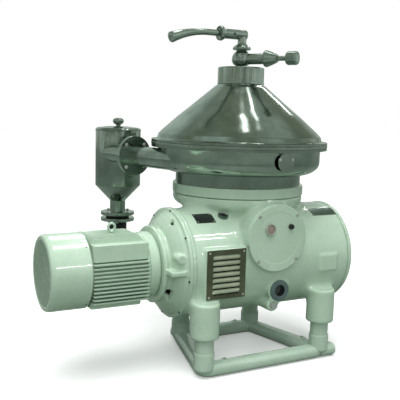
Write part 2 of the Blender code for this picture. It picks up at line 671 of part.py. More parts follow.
def bowl_parts(holder):
    cup = [(0.0253, 0.9250), (0.2250, 0.9250), (0.2620, 0.9650), (0.2620, 1.0600), (0.2460, 1.0600),
           (0.2460, 0.9720), (0.2150, 0.9430), (0.0550, 0.9430), (0.0450, 0.9850), (0.0253, 0.9850)]
    bowl = lathe("bowl_body", cup, "stainless", holder=holder)
    for port in range(SLUDGE_PORTS):
        slot = box("sludge_port", (0.220, -0.014, 1.002), (0.280, 0.014, 1.014), "stainless",
                   holder=holder)
        slot.matrix_basis = Matrix.Rotation(TURN * port / SLUDGE_PORTS, 4, "Z")
        cut(bowl, slot)
    piston = [(0.0583, 0.9437), (0.2120, 0.9437), (0.2450, 0.9745), (0.2450, 0.9920), (0.2050, 0.9600),
              (0.0583, 0.9600)]
    lathe("sliding_bowl_bottom", piston, "stainless", holder=holder)
    stack = [(0.0300, 0.9855), (0.0300, 1.2100), (DISC_INNER, 1.2100)]
    for disc in range(DISCS):
        top = DISC_TOP - disc * DISC_PITCH
        rim = top - DISC_DROP
        stack += [(DISC_INNER, top + DISC_THICKNESS), (DISC_OUTER, rim + DISC_THICKNESS),
                  (DISC_OUTER, rim), (DISC_INNER, top)]
    stack.append((DISC_INNER, 0.9855))
    lathe("disc_stack", stack, "stainless", holder=holder, sides=MIDDLE_ROUND)
    cone = [(0.2460, 1.0603), (0.2620, 1.0603), (0.2620, 1.0720), (0.0920, 1.2320), (0.0700, 1.2450),
            (0.0700, 1.2640), (0.0560, 1.2640), (0.0560, 1.2340), (0.0750, 1.2210)]
    lathe("bowl_top", cone, "stainless", holder=holder)
    collar("bowl_lock_ring", 0.2623, 0.2760, 1.0350, 1.0800, "stainless", holder=holder)


def catcher_outline(shift):
    """The catcher's side from its band to its rim; shift moves it inwards for the inner face."""
    band, bend_z, bend = CATCHER_BAND - shift, 0.9450 + shift / 2, 0.0600
    points = [(band, CATCHER_BOTTOM + shift), (band, 0.8850)]
    steps = 4
    for step in range(1, steps + 1):
        angle = math.pi / 2 * step / steps
        points.append((band + (CATCHER_RADIUS - CATCHER_BAND) * math.sin(angle),
                       bend_z - bend * math.cos(angle)))
    return points


def sludge_catcher():
    outer = [(0.100, CATCHER_BOTTOM)] + catcher_outline(0)
    rim = [(CATCHER_RADIUS, 1.0050), (0.430, 1.0050), (0.430, 1.0165),
           (CATCHER_RADIUS - CATCHER_WALL, 1.0165)]
    inner = catcher_outline(CATCHER_WALL)[::-1] + [(0.100, CATCHER_BOTTOM + CATCHER_WALL)]
    catcher = lathe("sludge_catcher", outer + rim + inner, "stainless", sides=WIDE_ROUND)
    length = SLUDGE_JOINT - GAP / 2
    pipe = shaft("sludge_pipe", SLUDGE_OUTER, 0.150, length, "stainless", SLUDGE_START, SLUDGE_WAY,
                 sides=MIDDLE_ROUND)
    boss = shaft("port_boss", PORT_RADIUS + 0.002, 0.380, -PORT_FACE_Y, "stainless",
                 (PORT_X, 0, PORT_Z), FRONT, sides=MIDDLE_ROUND)
    for fitting in (pipe, boss):
        room = shaft("catcher_room", CATCHER_RADIUS - CATCHER_WALL, 0.880, 1.010, "stainless",
                     sides=WIDE_ROUND)
        cut(fitting, room)
        join(catcher, fitting)
    join(catcher, shaft("pipe_flange", SLUDGE_FLANGE, length - 0.010, length, "stainless",
                        SLUDGE_START, SLUDGE_WAY))
    cut(catcher, shaft("pipe_bore", SLUDGE_INNER, 0.020, SLUDGE_JOINT + 0.01, "stainless",
                       SLUDGE_START, SLUDGE_WAY, sides=MIDDLE_ROUND))
    cut(catcher, shaft("port_bore", PORT_HOLE_RADIUS, 0.360, 0.420, "stainless",
                       (PORT_HOLE_X, 0, PORT_Z), FRONT))
    collar("rim_ring", 0.400, RIM_RADIUS, 1.0168, 1.0297, "stainless", sides=WIDE_ROUND)


def port_flap(holder):
    front = -PORT_FACE_Y + GAP
    plate = shaft("port_flap", PORT_RADIUS, front, front + 0.003, "stainless", (PORT_X, 0, PORT_Z),
                  FRONT, holder, sides=MIDDLE_ROUND)
    for name, x in PORT_BOLTS.items():
        head = [(0, front + 0.001), (0.0065, front + 0.001), (0.0065, front + 0.0075),
                (0.0040, front + 0.0100), (0, front + 0.0100)]
        join(plate, lathe(name, head, "steel", (x, 0, PORT_BOLT_Z), FRONT, holder, sides=12))


def cyclone_body():
    place = (CYCLONE_X, CYCLONE_Y, 0)
    shell = [(0.120, 1.0660), (0.120, 0.7730), (0.041, 0.6890), (0.041, 0.6290), (0.090, 0.6290),
             (0.090, 0.6125), (0.038, 0.6125), (0.038, 0.6900), (0.117, 0.7745), (0.117, 1.0660)]
    body = lathe("cyclone_body", shell, "stainless", place)
    start = SLUDGE_JOINT + GAP / 2
    stub = shaft("inlet_stub", SLUDGE_OUTER, start, SLUDGE_END, "stainless", SLUDGE_START, SLUDGE_WAY,
                 sides=MIDDLE_ROUND)
    cut(stub, shaft("cyclone_room", 0.118, 0.80, 1.10, "stainless", place))
    join(body, stub)
    flange = shaft("stub_flange", SLUDGE_FLANGE, start, start + 0.010, "stainless", SLUDGE_START,
                   SLUDGE_WAY)
    join(body, flange)
    bore = shaft("stub_bore", SLUDGE_INNER, start - 0.01, SLUDGE_END - 0.01, "stainless",
                 SLUDGE_START, SLUDGE_WAY, sides=MIDDLE_ROUND)
    cut(body, bore)
    collar("drain_gasket", 0.038, 0.062, 0.5973, 0.6122, "rubber", place, sides=MIDDLE_ROUND)
    flange = [(0.038, 0.5970), (0.090, 0.5970), (0.090, 0.5800), (0.044, 0.5800),
              (0.044, 0.5400), (0.038, 0.5400)]
    lathe("drain_flange", flange, "stainless", place, sides=MIDDLE_ROUND)
    collar("drain_sleeve", 0.0443, 0.0500, 0.4600, 0.5797, "rubber", place, sides=MIDDLE_ROUND)


def cyclone_lid(holder):
    profile = [(0, 1.0663), (LID_RADIUS, 1.0663), (LID_RADIUS, 1.0720), (0.100, 1.0820), (0.050, 1.0875),
               (0.012, 1.0885), (0.012, 1.0950), (0.022, 1.1000), (0.031, 1.1130), (0.026, 1.1260),
               (0.012, 1.1320), (0, 1.1320)]
    lathe("cyclone_lid", profile, "stainless", (CYCLONE_X, CYCLONE_Y, 0), UP, holder)


def hood_parts(holder):
    cone = [(0.430, 1.0300), (0.430, 1.0420), (0.413, 1.0460), (0.398, 1.0660), (0.340, 1.1200),
            (0.246, 1.2000), (0.119, 1.3070), (0.1135, 1.3115), (0.1095, 1.3115), (0.1150, 1.3030),
            (0.242, 1.1960), (0.336, 1.1160), (0.394, 1.0620), (0.394, 1.0300)]
    lathe("hood_cone", cone, "stainless", holder=holder, sides=WIDE_ROUND)
    cap = [(0.1095, 1.3118), (0.1135, 1.3118), (0.1135, 1.3890), (0.1100, 1.3930), (VALVE_BORE, 1.3930),
           (VALVE_BORE, 1.3850), (0.1095, 1.3850)]
    lathe("hood_cap", cap, "stainless", holder=holder)
    tube = [(0.0080, 1.0200), (0.0120, 1.0200), (0.0120, 1.2380), (0.0500, 1.2380), (0.0500, 1.2480),
            (0.0120, 1.2480), (0.0120, 1.3780), (0.0300, 1.3780), (0.0300, 1.3847), (0.0080, 1.3847)]
    lathe("feed_tube_and_pump_disc", tube, "stainless", holder=holder, sides=MIDDLE_ROUND)
    onion = [(VALVE_BORE, 1.3933), (0.0200, 1.3933), (0.0260, 1.4000), (0.0400, 1.4100), (0.0465, 1.4280),
             (0.0455, 1.4450), (0.0360, 1.4620), (0.0260, 1.4720), (0.0240, 1.4767), (VALVE_BORE, 1.4767)]
    lathe("valve_ball_body", onion, "stainless", holder=holder, sides=MIDDLE_ROUND)
    nut = [(VALVE_BORE, 1.4770), (0.0360, 1.4770), (0.0440, 1.4810), (0.0440, 1.4870), (0.0340, 1.4970),
           (0.0260, 1.5030), (VALVE_BORE, 1.5030)]
    lathe("union_nut", nut, "stainless", holder=holder, sides=MIDDLE_ROUND)


def valve_elbow(holder):
    post = shaft("valve_elbow", 0.0215, 1.5033, 1.5690, "stainless", holder=holder)
    arm = shaft("elbow_arm", 0.0237, -0.020, LEVER_START - 0.0008, "stainless", (0, 0, VALVE_Z), LEFT,
                holder)
    join(post, arm)
    cut(post, shaft("elbow_side_hole", 0.0070, 0, 0.060, "stainless", (-0.055, 0, VALVE_Z), FRONT,
                    holder, sides=16))
    cup = [(0.0160, 0.1000), (0.0260, 0.1000), (0.0360, 0.1150), (0.0360, 0.1230), (0.0330, 0.1300),
           (0.0290, 0.1230), (0.0160, 0.1180)]
    join(post, lathe("lever_cup", cup, "stainless", (0, 0, VALVE_Z), LEFT, holder, sides=MIDDLE_ROUND))


def valve_lever(holder):
    route = [Vector((-LEVER_START, 0, VALVE_Z))]
    radii = [0.0147]
    steps = 10
    straight_end, reach, droop = 0.190, 0.375, 0.036
    for step in range(steps + 1):
        share = step / steps
        x = -straight_end - (reach - straight_end) * share
        route.append(Vector((x, 0, VALVE_Z - droop * share ** 2)))
        radii.append(0.0147 + 0.0105 * share ** 2)
    route.append(route[-1] + Vector((-0.012, 0, -0.004)))
    radii.append(0.0160)
    sweep("valve_lever", route, radii, "stainless", holder, sides=MIDDLE_ROUND)


def branch_parts(holder):
    place = (0, 0, BRANCH_Z)
    block = shaft("branch_block", 0.0257, 0.020, 0.1280, "stainless", place, BRANCH_WAY, holder)
    saddle = shaft("branch_saddle", 0.0468, 1.390, 1.480, "stainless", holder=holder, sides=MIDDLE_ROUND)
    cut(block, saddle)
    cut(block, shaft("branch_side_hole", 0.0060, 0, 0.060, "stainless",
                     Vector(place) + BRANCH_WAY * 0.112, UP.cross(BRANCH_WAY) * -1, holder, sides=16))
    nut = [(0, 0.1283), (0.0340, 0.1283), (0.0395, 0.1340), (0.0395, 0.1400),
           (0.0180, 0.1950), (0, 0.1950)]
    lathe("branch_nut", nut, "stainless", place, BRANCH_WAY, holder, sides=MIDDLE_ROUND)


def regulating_knob(holder):
    profile = [(0, 0.1953), (0.0115, 0.1953), (0.0115, 0.2420), (0.0290, 0.2450), (0.0320, 0.2520),
               (0.0320, 0.2880), (0.0290, 0.2960), (0, 0.2960)]
    lathe("regulating_knob", profile, "stainless", (0, 0, BRANCH_Z), BRANCH_WAY, holder,
          sides=MIDDLE_ROUND)


def frame_parts():
    main_housing()
    end_cover()
    stand_frame()
    motor_lantern()
    motor_frame()
    motor_end_shield()
    motor_rear_shield()
    fan_cover()
    lifting_eye()
    terminal_box()
    gear_cover()
    oil_fittings()
    vent_grille()
    for name, span, finish in BLANK_PLATES:
        curved_plate(name, *span, finish)
    sludge_catcher()
    cyclone_body()


clear_scene()
MIDDLE_X = (MOTOR_END_X + COVER_END_X) / 2
MIDDLE_Y = (CYCLONE_Y + LID_RADIUS - RIM_RADIUS) / 2
machine = empty("machine", (-MIDDLE_X, -MIDDLE_Y, 0))
frame_parts()
spindle = empty("spindle_axis", (0, 0, 0), machine)
spindle_parts(spindle)
bowl_parts(spindle)
drive_shaft_parts(empty("drive_axis", on_drive(), machine))
rotor_parts(empty("rotor_axis", on_drive(MOTOR_END_X), machine))
hood = empty("hood_lift", (0, 0, 1.030), machine)
hood_parts(hood)
valve_elbow(hood)
branch_parts(hood)
valve_lever(empty("lever_axis", (-LEVER_START, 0, VALVE_Z), machine))
regulating_knob(empty("knob_axis", Vector((0, 0, BRANCH_Z)) + BRANCH_WAY * 0.1953, machine))
cyclone_lid(empty("lid_lift", (CYCLONE_X, CYCLONE_Y, 1.0663), machine))
port_flap(empty("flap_axis", (PORT_BOLTS["port_hinge_bolt"], PORT_FACE_Y, PORT_BOLT_Z), machine))
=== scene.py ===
import json
import math

import bmesh
import bpy
import numpy as np
from mathutils import Matrix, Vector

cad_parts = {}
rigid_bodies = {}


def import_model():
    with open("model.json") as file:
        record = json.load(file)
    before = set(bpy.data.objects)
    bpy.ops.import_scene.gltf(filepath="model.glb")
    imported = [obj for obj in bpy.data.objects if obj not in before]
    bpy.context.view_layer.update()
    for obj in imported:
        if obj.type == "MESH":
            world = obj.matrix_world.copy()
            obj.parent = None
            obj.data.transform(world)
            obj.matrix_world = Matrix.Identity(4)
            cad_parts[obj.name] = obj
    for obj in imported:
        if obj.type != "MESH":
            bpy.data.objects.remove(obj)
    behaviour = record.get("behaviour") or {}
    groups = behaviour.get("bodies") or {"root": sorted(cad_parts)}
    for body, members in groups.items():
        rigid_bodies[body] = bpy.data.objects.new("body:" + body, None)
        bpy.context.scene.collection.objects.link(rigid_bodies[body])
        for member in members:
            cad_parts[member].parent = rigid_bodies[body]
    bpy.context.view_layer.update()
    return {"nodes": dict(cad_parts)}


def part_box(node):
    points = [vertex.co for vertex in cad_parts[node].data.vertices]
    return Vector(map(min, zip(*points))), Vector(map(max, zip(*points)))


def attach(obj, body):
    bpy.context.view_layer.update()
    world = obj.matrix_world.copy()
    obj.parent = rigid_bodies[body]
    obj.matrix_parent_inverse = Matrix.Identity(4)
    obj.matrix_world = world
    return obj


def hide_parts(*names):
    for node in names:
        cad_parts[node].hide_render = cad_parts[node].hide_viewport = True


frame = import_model()
print("frame loaded:", len(frame["nodes"]), "nodes")

# Cream separator: everything below is measured from the point where the spindle's axis meets the floor.
up, right, left, front = (0, 0, 1), (1, 0, 0), (-1, 0, 0), (0, -1, 0)
turn = 2 * math.pi
mergeGap = 1e-6


def middleOf(node):
    low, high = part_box(node)
    return (np.array(low) + np.array(high)) / 2


origin = middleOf("bowl_spindle") * (1, 1, 0)
shaftY, shaftZ = (middleOf("drive_shaft") - origin)[1:]
cycloneX, cycloneY = (middleOf("cyclone_lid") - origin)[:2]
onDrive = (0, shaftY, shaftZ)


# shapes: a shape is a pair, its points (n, 3) and its four-cornered faces (m, 4)

def gridFaces(rows, columns, wrapRows):
    # the face at (i, j) joins points (i, j), (i, j+1), (i+1, j+1) and (i+1, j); columns always wrap
    i, j = np.meshgrid(np.arange(rows if wrapRows else rows - 1), np.arange(columns), indexing="ij")
    nextI, nextJ = (i + 1) % rows, (j + 1) % columns
    corners = [i * columns + j, i * columns + nextJ, nextI * columns + nextJ, nextI * columns + j]
    return np.stack(corners, -1).reshape(-1, 4)


def rounded(points, radius, closed=True, steps=4):
    # each corner P becomes (1-t)^2 A + 2t(1-t) P + t^2 B, with A and B a radius away along its two edges
    points = np.asarray(points, float)
    before, after = np.roll(points, 1, 0) - points, np.roll(points, -1, 0) - points
    lengthBefore, lengthAfter = np.linalg.norm(before, axis=1), np.linalg.norm(after, axis=1)
    reach = np.minimum(radius, 0.45 * np.minimum(lengthBefore, lengthAfter))
    if not closed:
        reach[0] = reach[-1] = 0
    start = points + before * (reach / lengthBefore)[:, None]
    end = points + after * (reach / lengthAfter)[:, None]
    t = np.linspace(0, 1, steps + 1)[None, :, None]
    curve = (1 - t) ** 2 * start[:, None] + 2 * t * (1 - t) * points[:, None] + t ** 2 * end[:, None]
    return curve.reshape(-1, points.shape[1])


def turned(profile, sides=96, phase=0):
    # point (i, j) is (r cos a, r sin a, h) for the profile's (r, h) number i and a = 2 pi (j + phase) / sides
    profile = np.asarray(profile, float)
    angle = turn * (np.arange(sides) + phase) / sides
    radius, height = profile[:, :1], profile[:, 1:]
    points = np.stack([radius * np.cos(angle), radius * np.sin(angle), height + 0 * angle], -1)
    onAxis = profile[0, 0] < mergeGap and profile[-1, 0] < mergeGap
    return points.reshape(-1, 3), gridFaces(len(profile), sides, not onAxis)


def placed(shape, place=(0, 0, 0), way=up, spin=0):
    # the shape's own Z is turned to the given way, its Y stays as near upright as it can, then it is moved
    ahead = np.array(way, float) / np.linalg.norm(way)
    side = np.cross(up, ahead)
    side = np.array(right, float) if np.linalg.norm(side) < mergeGap else side / np.linalg.norm(side)
    basis = np.stack([side, np.cross(ahead, side), ahead])
    cosine, sine = math.cos(spin), math.sin(spin)
    spun = shape[0] @ np.array([[cosine, sine, 0], [-sine, cosine, 0], [0, 0, 1]])
    return spun @ basis + np.array(place, float), shape[1]


def joined(shapes):
    # all points in one list, with each shape's face numbers moved on by the points before it
    counts = np.cumsum([0] + [len(points) for points, _ in shapes])
    faces = [corners + start for (_, corners), start in zip(shapes, counts)]
    return np.concatenate([points for points, _ in shapes]), np.concatenate(faces)


def around(shape, count, radius, place=(0, 0, 0), way=up, phase=0.0, height=0.0):
    # copies on a circle: copy k stands at (radius cos a, radius sin a, height), a = 2 pi (k + phase) / count
    angles = turn * (np.arange(count) + phase) / count
    copies = [placed(placed(shape, (radius * math.cos(a), radius * math.sin(a), height), up, 0), place,
        way) for a in angles]
    return joined(copies)


def platter(outline, profile, place=(0, 0, 0), way=up):
    # an outline carried up a profile: point (i, j) = outline j moved out by profile i's offset, at its height
    outline, profile = np.asarray(outline, float), np.asarray(profile, float)
    ahead = np.roll(outline, -1, 0) - np.roll(outline, 1, 0)
    outward = np.stack([ahead[:, 1], -ahead[:, 0]], 1)
    outward /= np.linalg.norm(outward, axis=1)[:, None]
    flat = outline[None] + outward[None] * profile[:, None, :1]
    tall = np.broadcast_to(profile[:, None, 1:], flat.shape[:2] + (1,))
    rings = np.concatenate([flat, tall], -1)
    middle = outline.mean(0)
    foot = np.broadcast_to([*middle, profile[0, 1]], (1, len(outline), 3))
    cap = np.broadcast_to([*middle, profile[-1, 1]], (1, len(outline), 3))
    rings = np.concatenate([foot, rings, cap])
    return placed((rings.reshape(-1, 3), gridFaces(len(rings), len(outline), False)), place, way)


def plate(width, height, low, high, corner=0.004, edge=0.0015, place=(0, 0, 0), way=up):
    # a slab with rounded corners in plan and rounded edges in section
    corners = np.array([(-1, -1), (1, -1), (1, 1), (-1, 1)]) * (width / 2, height / 2)
    section = rounded([(-edge * 2.2, low), (0, low), (0, high), (-edge * 2.2, high)], edge, False)
    return platter(rounded(corners, corner, True, 5), section, place, way)


def sweep(route, radii, sides=24, closed=False, squareness=2.0, flatness=1.0):
    # ring i stands across the route at point i; its outline is |u|^q + |v|^q = 1, scaled by the radius there
    route, radii = np.asarray(route, float), np.broadcast_to(radii, len(route)).astype(float)
    ahead = np.roll(route, -1, 0) - np.roll(route, 1, 0)
    if not closed:
        ahead[0], ahead[-1] = route[1] - route[0], route[-1] - route[-2]
    ahead /= np.linalg.norm(ahead, axis=1)[:, None]
    side = np.cross(up, ahead)
    length = np.linalg.norm(side, axis=1)[:, None]
    side = np.where(length < mergeGap, right, side / np.maximum(length, mergeGap))
    rise = np.cross(ahead, side)
    angle = turn * np.arange(sides) / sides
    u, v = (np.sign(w) * np.abs(w) ** (2 / squareness) for w in (np.cos(angle), np.sin(angle)))
    rings = (route[:, None] + side[:, None] * (u[None, :, None] * radii[:, None, None]) + rise[:,
        None] * (v[None, :, None] * radii[:, None, None] * flatness))
    if not closed:
        ends = [np.broadcast_to(p, (1, sides, 3)) for p in (route[0], route[-1])]
        rings = np.concatenate([ends[0], rings, ends[1]])
    return rings.reshape(-1, 3), gridFaces(len(rings), sides, closed)


def rods(starts, ends, radius, sides=4):
    # straight rods between two lists of points: a ring of the radius across each end, closed to its middle
    starts, ends = np.asarray(starts, float), np.asarray(ends, float)
    ahead = (ends - starts) / np.linalg.norm(ends - starts, axis=1)[:, None]
    helper = np.where(np.abs(ahead[:, 2:]) > 0.9, np.array([right]), np.array([up]))
    side = np.cross(helper, ahead)
    side /= np.linalg.norm(side, axis=1)[:, None]
    rise = np.cross(ahead, side)
    angle = turn * (np.arange(sides) + 0.5) / sides
    ring = (side[:, None] * np.cos(angle)[:, None] + rise[:, None] * np.sin(angle)[:, None]) * radius
    rings = np.stack([starts[:, None] + ring * 0, starts[:, None] + ring, ends[:, None] + ring,
        ends[:, None] + ring * 0], 1)
    faces = gridFaces(4, sides, False)
    shift = np.arange(len(starts))[:, None, None] * 4 * sides
    return rings.reshape(-1, 3), (faces[None] + shift).reshape(-1, 4)


def flowing(points, count=8):
    # a Catmull-Rom curve through the points, with count steps from one point to the next
    points = np.asarray(points, float)
    padded = np.concatenate([2 * points[:1] - points[1:2], points, 2 * points[-1:] - points[-2:-1]])
    t = np.arange(count)[None, :, None] / count
    a, b, c, d = (padded[k:k + len(points) - 1, None] for k in range(4))
    curve = 0.5 * (2 * b + (c - a) * t + (2 * a - 5 * b + 4 * c - d) * t ** 2 + (3 * b - 3 * c + d - a)
        * t ** 3)
    return np.concatenate([curve.reshape(-1, points.shape[1]), points[-1:]])


# distances: each is negative inside a form, in metres; a surface is where they reach zero

def drumDistance(across, along, radius, low, high, edge):
    # a cylinder whose rims are rounded by edge
    a, b = across - radius + edge, np.abs(along - (low + high) / 2) - (high - low) / 2 + edge
    return np.minimum(np.maximum(a, b), 0) + np.hypot(np.maximum(a, 0), np.maximum(b, 0)) - edge


def boxDistance(points, low, high, edge):
    # a box whose edges are rounded by edge
    low, high = np.array(low), np.array(high)
    q = np.abs(points - (low + high) / 2) - (high - low) / 2 + edge
    return np.minimum(q.max(1), 0) + np.linalg.norm(np.maximum(q, 0), axis=1) - edge


def outlineDistance(u, v, outline):
    # distance to the nearest edge of a closed outline, negative where a ray crosses it an odd number of times
    outline = np.asarray(outline, float)
    nearest, inside = np.full(len(u), np.inf), np.zeros(len(u), bool)
    for (au, av), (bu, bv) in zip(outline, np.roll(outline, -1, 0)):
        du, dv = bu - au, bv - av
        t = np.clip(((u - au) * du + (v - av) * dv) / (du * du + dv * dv), 0, 1)
        nearest = np.minimum(nearest, np.hypot(u - au - t * du, v - av - t * dv))
        crosses = (av > v) != (bv > v)
        inside ^= crosses & (u < du * (v - av) / (dv if dv else 1) + au)
    return np.where(inside, -nearest, nearest)


def melted(a, b, fillet):
    # the smaller of two distances, less (f - |a - b|)^2 / 4f where they are within the fillet f of each other
    near = np.maximum(fillet - np.abs(a - b), 0)
    return np.minimum(a, b) - near * near / (4 * fillet)


def carved(a, b, edge):
    # a with b taken out of it, the rim rounded
    return -melted(-a, b, edge)


def netSurface(distance, low, high, step, rounds=5):
    # surface nets: a point in each grid cell that the surface crosses, a face for each grid edge it crosses;
    # then each point goes to the mean of its neighbours and back along the slope of the distance to zero
    axes = [np.arange(a, b + step, step) for a, b in zip(low, high)]
    grid = np.stack(np.meshgrid(*axes, indexing="ij"), -1)
    inside = distance(grid.reshape(-1, 3)).reshape(grid.shape[:3]) < 0
    filled = sum(inside[i:i + inside.shape[0] - 1, j:j + inside.shape[1] - 1,
        k:k + inside.shape[2] - 1].astype(int) for i in (0, 1) for j in (0, 1) for k in (0, 1))
    crossed = (filled > 0) & (filled < 8)
    number = np.zeros(crossed.shape, int)
    number[crossed] = np.arange(crossed.sum())
    points = np.array(low) + (np.argwhere(crossed) + 0.5) * step
    faces = []
    for a in range(3):
        order = (a, (a + 1) % 3, (a + 2) % 3)
        sides, cells = np.transpose(inside, order), np.transpose(number, order)
        first, last = sides[:-1, 1:-1, 1:-1], sides[1:, 1:-1, 1:-1]
        i, j, k = np.nonzero(first != last)
        quad = np.stack([cells[i, j, k], cells[i, j + 1, k], cells[i, j + 1, k + 1], cells[i, j, k + 1]], 1)
        outwards = first[i, j, k][:, None]
        faces.append(np.where(outwards, quad, quad[:, ::-1]))
    faces = np.concatenate(faces)
    ends = np.concatenate([faces, np.roll(faces, -1, 1)]).reshape(2, -1)
    both = np.concatenate([ends, ends[::-1]], 1)
    degree = np.bincount(both[0], minlength=len(points))[:, None]
    probe = 0.2 * step
    for smoothing in range(rounds):
        mean = np.stack([np.bincount(both[0], points[both[1], axis], len(points)) for axis in range(3)],
            1) / degree
        points = points + 0.5 * (mean - points)
        for settling in range(2):
            slope = np.stack([distance(points + probe * e) - distance(points - probe * e)
                for e in np.eye(3)], 1)
            slope /= 2 * probe
            move = distance(points)[:, None] * slope / np.maximum((slope ** 2).sum(1), 0.2)[:, None]
            points = points - np.clip(move, -step, step)
    return points, faces


# pieces

def facesOf(faces):
    # a face whose last two corners are one point is a triangle
    return [face[:3] if face[3] == face[2] else face for face in faces.tolist()]


def meshOf(name, points, faces):
    # a closed mesh with its doubles merged and its faces pointing outwards
    data = bpy.data.meshes.new(name)
    data.from_pydata(points.tolist(), [], facesOf(faces))
    tidy = bmesh.new()
    tidy.from_mesh(data)
    bmesh.ops.remove_doubles(tidy, verts=tidy.verts, dist=mergeGap)
    bmesh.ops.recalc_face_normals(tidy, faces=tidy.faces)
    tidy.to_mesh(data)
    tidy.free()
    return data


def newObject(name, data):
    thing = bpy.data.objects.new(name, data)
    bpy.context.scene.collection.objects.link(thing)
    return thing


def addPiece(name, shapes, material, node, body="machine_frame", sharp=38, weighted=True):
    # the shapes joined into one piece that stands for the CAD node; evenly meshed pieces are weighted
    points, faces = joined(shapes)
    data = meshOf(name, points + origin, faces)
    data.shade_smooth()
    data.set_sharp_from_angle(angle=math.radians(sharp))
    data.materials.append(material)
    piece = newObject(name, data)
    if weighted:
        piece.modifiers.new("even shading", "WEIGHTED_NORMAL").keep_sharp = True
    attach(piece, body)
    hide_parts(node)


def turnedPiece(name, node, material, sides, outline, edge=0, place=(0, 0, 0), way=up, steps=4,
        body="machine_frame"):
    # one turned shape, its corners rounded by edge; an outline that starts on the axis is open there
    profile = rounded(outline, edge, outline[0][0] > 0, steps) if edge else outline
    addPiece(name, [placed(turned(profile, sides), place, way)], material, node, body)


def cutShape(shape, cutter):
    # the shape with the cutter taken out of it by an exact Boolean
    made = []
    for name, (points, faces) in (("whole", shape), ("cutter", cutter)):
        made.append(newObject(name, meshOf(name, points, faces)))
    step = made[0].modifiers.new("hole", "BOOLEAN")
    step.operation, step.solver, step.object = "DIFFERENCE", "EXACT", made[1]
    triangles = made[0].modifiers.new("triangles", "TRIANGULATE")
    triangles.min_vertices = 4
    result = bpy.data.meshes.new_from_object(made[0].evaluated_get(bpy.context.evaluated_depsgraph_get()))
    points = np.zeros(len(result.vertices) * 3)
    result.vertices.foreach_get("co", points)
    corners = np.zeros(len(result.loops), int)
    result.loops.foreach_get("vertex_index", corners)
    for item in made:
        bpy.data.objects.remove(item)
    corners = corners.reshape(-1, 3)
    return points.reshape(-1, 3), np.concatenate([corners, corners[:, 2:]], 1)


# materials

def linear(colour):
    # sRGB hex to linear: ((c + 0.055) / 1.055)^2.4 above 0.04045, c / 12.92 below
    parts = np.array([int(colour[k:k + 2], 16) for k in (1, 3, 5)]) / 255
    return (*np.where(parts > 0.04045, ((parts + 0.055) / 1.055) ** 2.4, parts / 12.92), 1)


def addNode(tree, kind, settings=None, links=None):
    node = tree.nodes.new("ShaderNode" + kind)
    for key, value in (settings or {}).items():
        if isinstance(key, int) or key in node.inputs:
            node.inputs[key].default_value = value
        else:
            setattr(node, key, value)
    for key, socket in (links or {}).items():
        tree.links.new(socket, node.inputs[key])
    return node


def newMaterial(name, settings):
    material = bpy.data.materials.new(name)
    material.use_nodes = True
    tree = material.node_tree
    shader = tree.nodes["Principled BSDF"]
    for key, value in settings.items():
        shader.inputs[key].default_value = value
    return material, tree, shader


# a Map Range node's sockets: 1 and 2 are the range it reads, 3 and 4 the range it gives
cloudRange = {1: 0.35, 2: 0.65, 3: 0, 4: 1}


def rangeTo(low, high):
    return {**cloudRange, 3: low, 4: high}


def shaded(tree, place, colours, settings):
    # two shades mixed by a noise: the second's share grows from 0 to 1 as the noise goes from 0.35 to 0.65
    noise = addNode(tree, "TexNoise", settings, {"Vector": place}).outputs["Fac"]
    share = addNode(tree, "MapRange", cloudRange, {0: noise}).outputs[0]
    mix = addNode(tree, "Mix", {"data_type": "RGBA", 6: linear(colours[0]), 7: linear(colours[1])},
        {0: share})
    return noise, mix.outputs[2]


def enamel(name, colours, roughness, peel, cast):
    # Glossy enamel sprayed on metal: cloudy colour, fine orange peel, and the slow waves of what is under it
    material, tree, shader = newMaterial(name, {"Coat Weight": 1.0, "Coat Roughness": 0.05, "IOR": 1.5})
    place = addNode(tree, "TexCoord").outputs["Object"]
    base = shaded(tree, place, colours, {"Scale": 7.0, "Detail": 4.0, "Roughness": 0.6})[1]
    grime = addNode(tree, "TexNoise", {"Scale": 34.0, "Detail": 6.0, "Roughness": 0.7},
        {"Vector": place}).outputs[0]
    share = addNode(tree, "MapRange", {1: 0.58, 2: 0.75, 3: 0, 4: 0.35}, {0: grime}).outputs[0]
    spots = addNode(tree, "Mix", {"data_type": "RGBA", 7: linear(colours[2])}, {0: share, 6: base})
    gloss = addNode(tree, "MapRange", rangeTo(*roughness), {0: grime})
    fine = addNode(tree, "TexNoise", {"Scale": 260.0, "Detail": 2.0}, {"Vector": place}).outputs["Fac"]
    wave = addNode(tree, "TexNoise", {"Scale": 28.0, "Detail": 3.0}, {"Vector": place}).outputs["Fac"]
    low = addNode(tree, "Bump", {"Strength": cast, "Distance": 0.002}, {"Height": wave}).outputs[0]
    high = addNode(tree, "Bump", {"Strength": peel, "Distance": 0.0003},
        {"Height": fine, "Normal": low}).outputs[0]
    for socket, key in ((spots.outputs[2], "Base Color"), (gloss.outputs[0], "Roughness"), (high, "Normal"),
            (high, "Coat Normal")):
        tree.links.new(socket, shader.inputs[key])
    return material


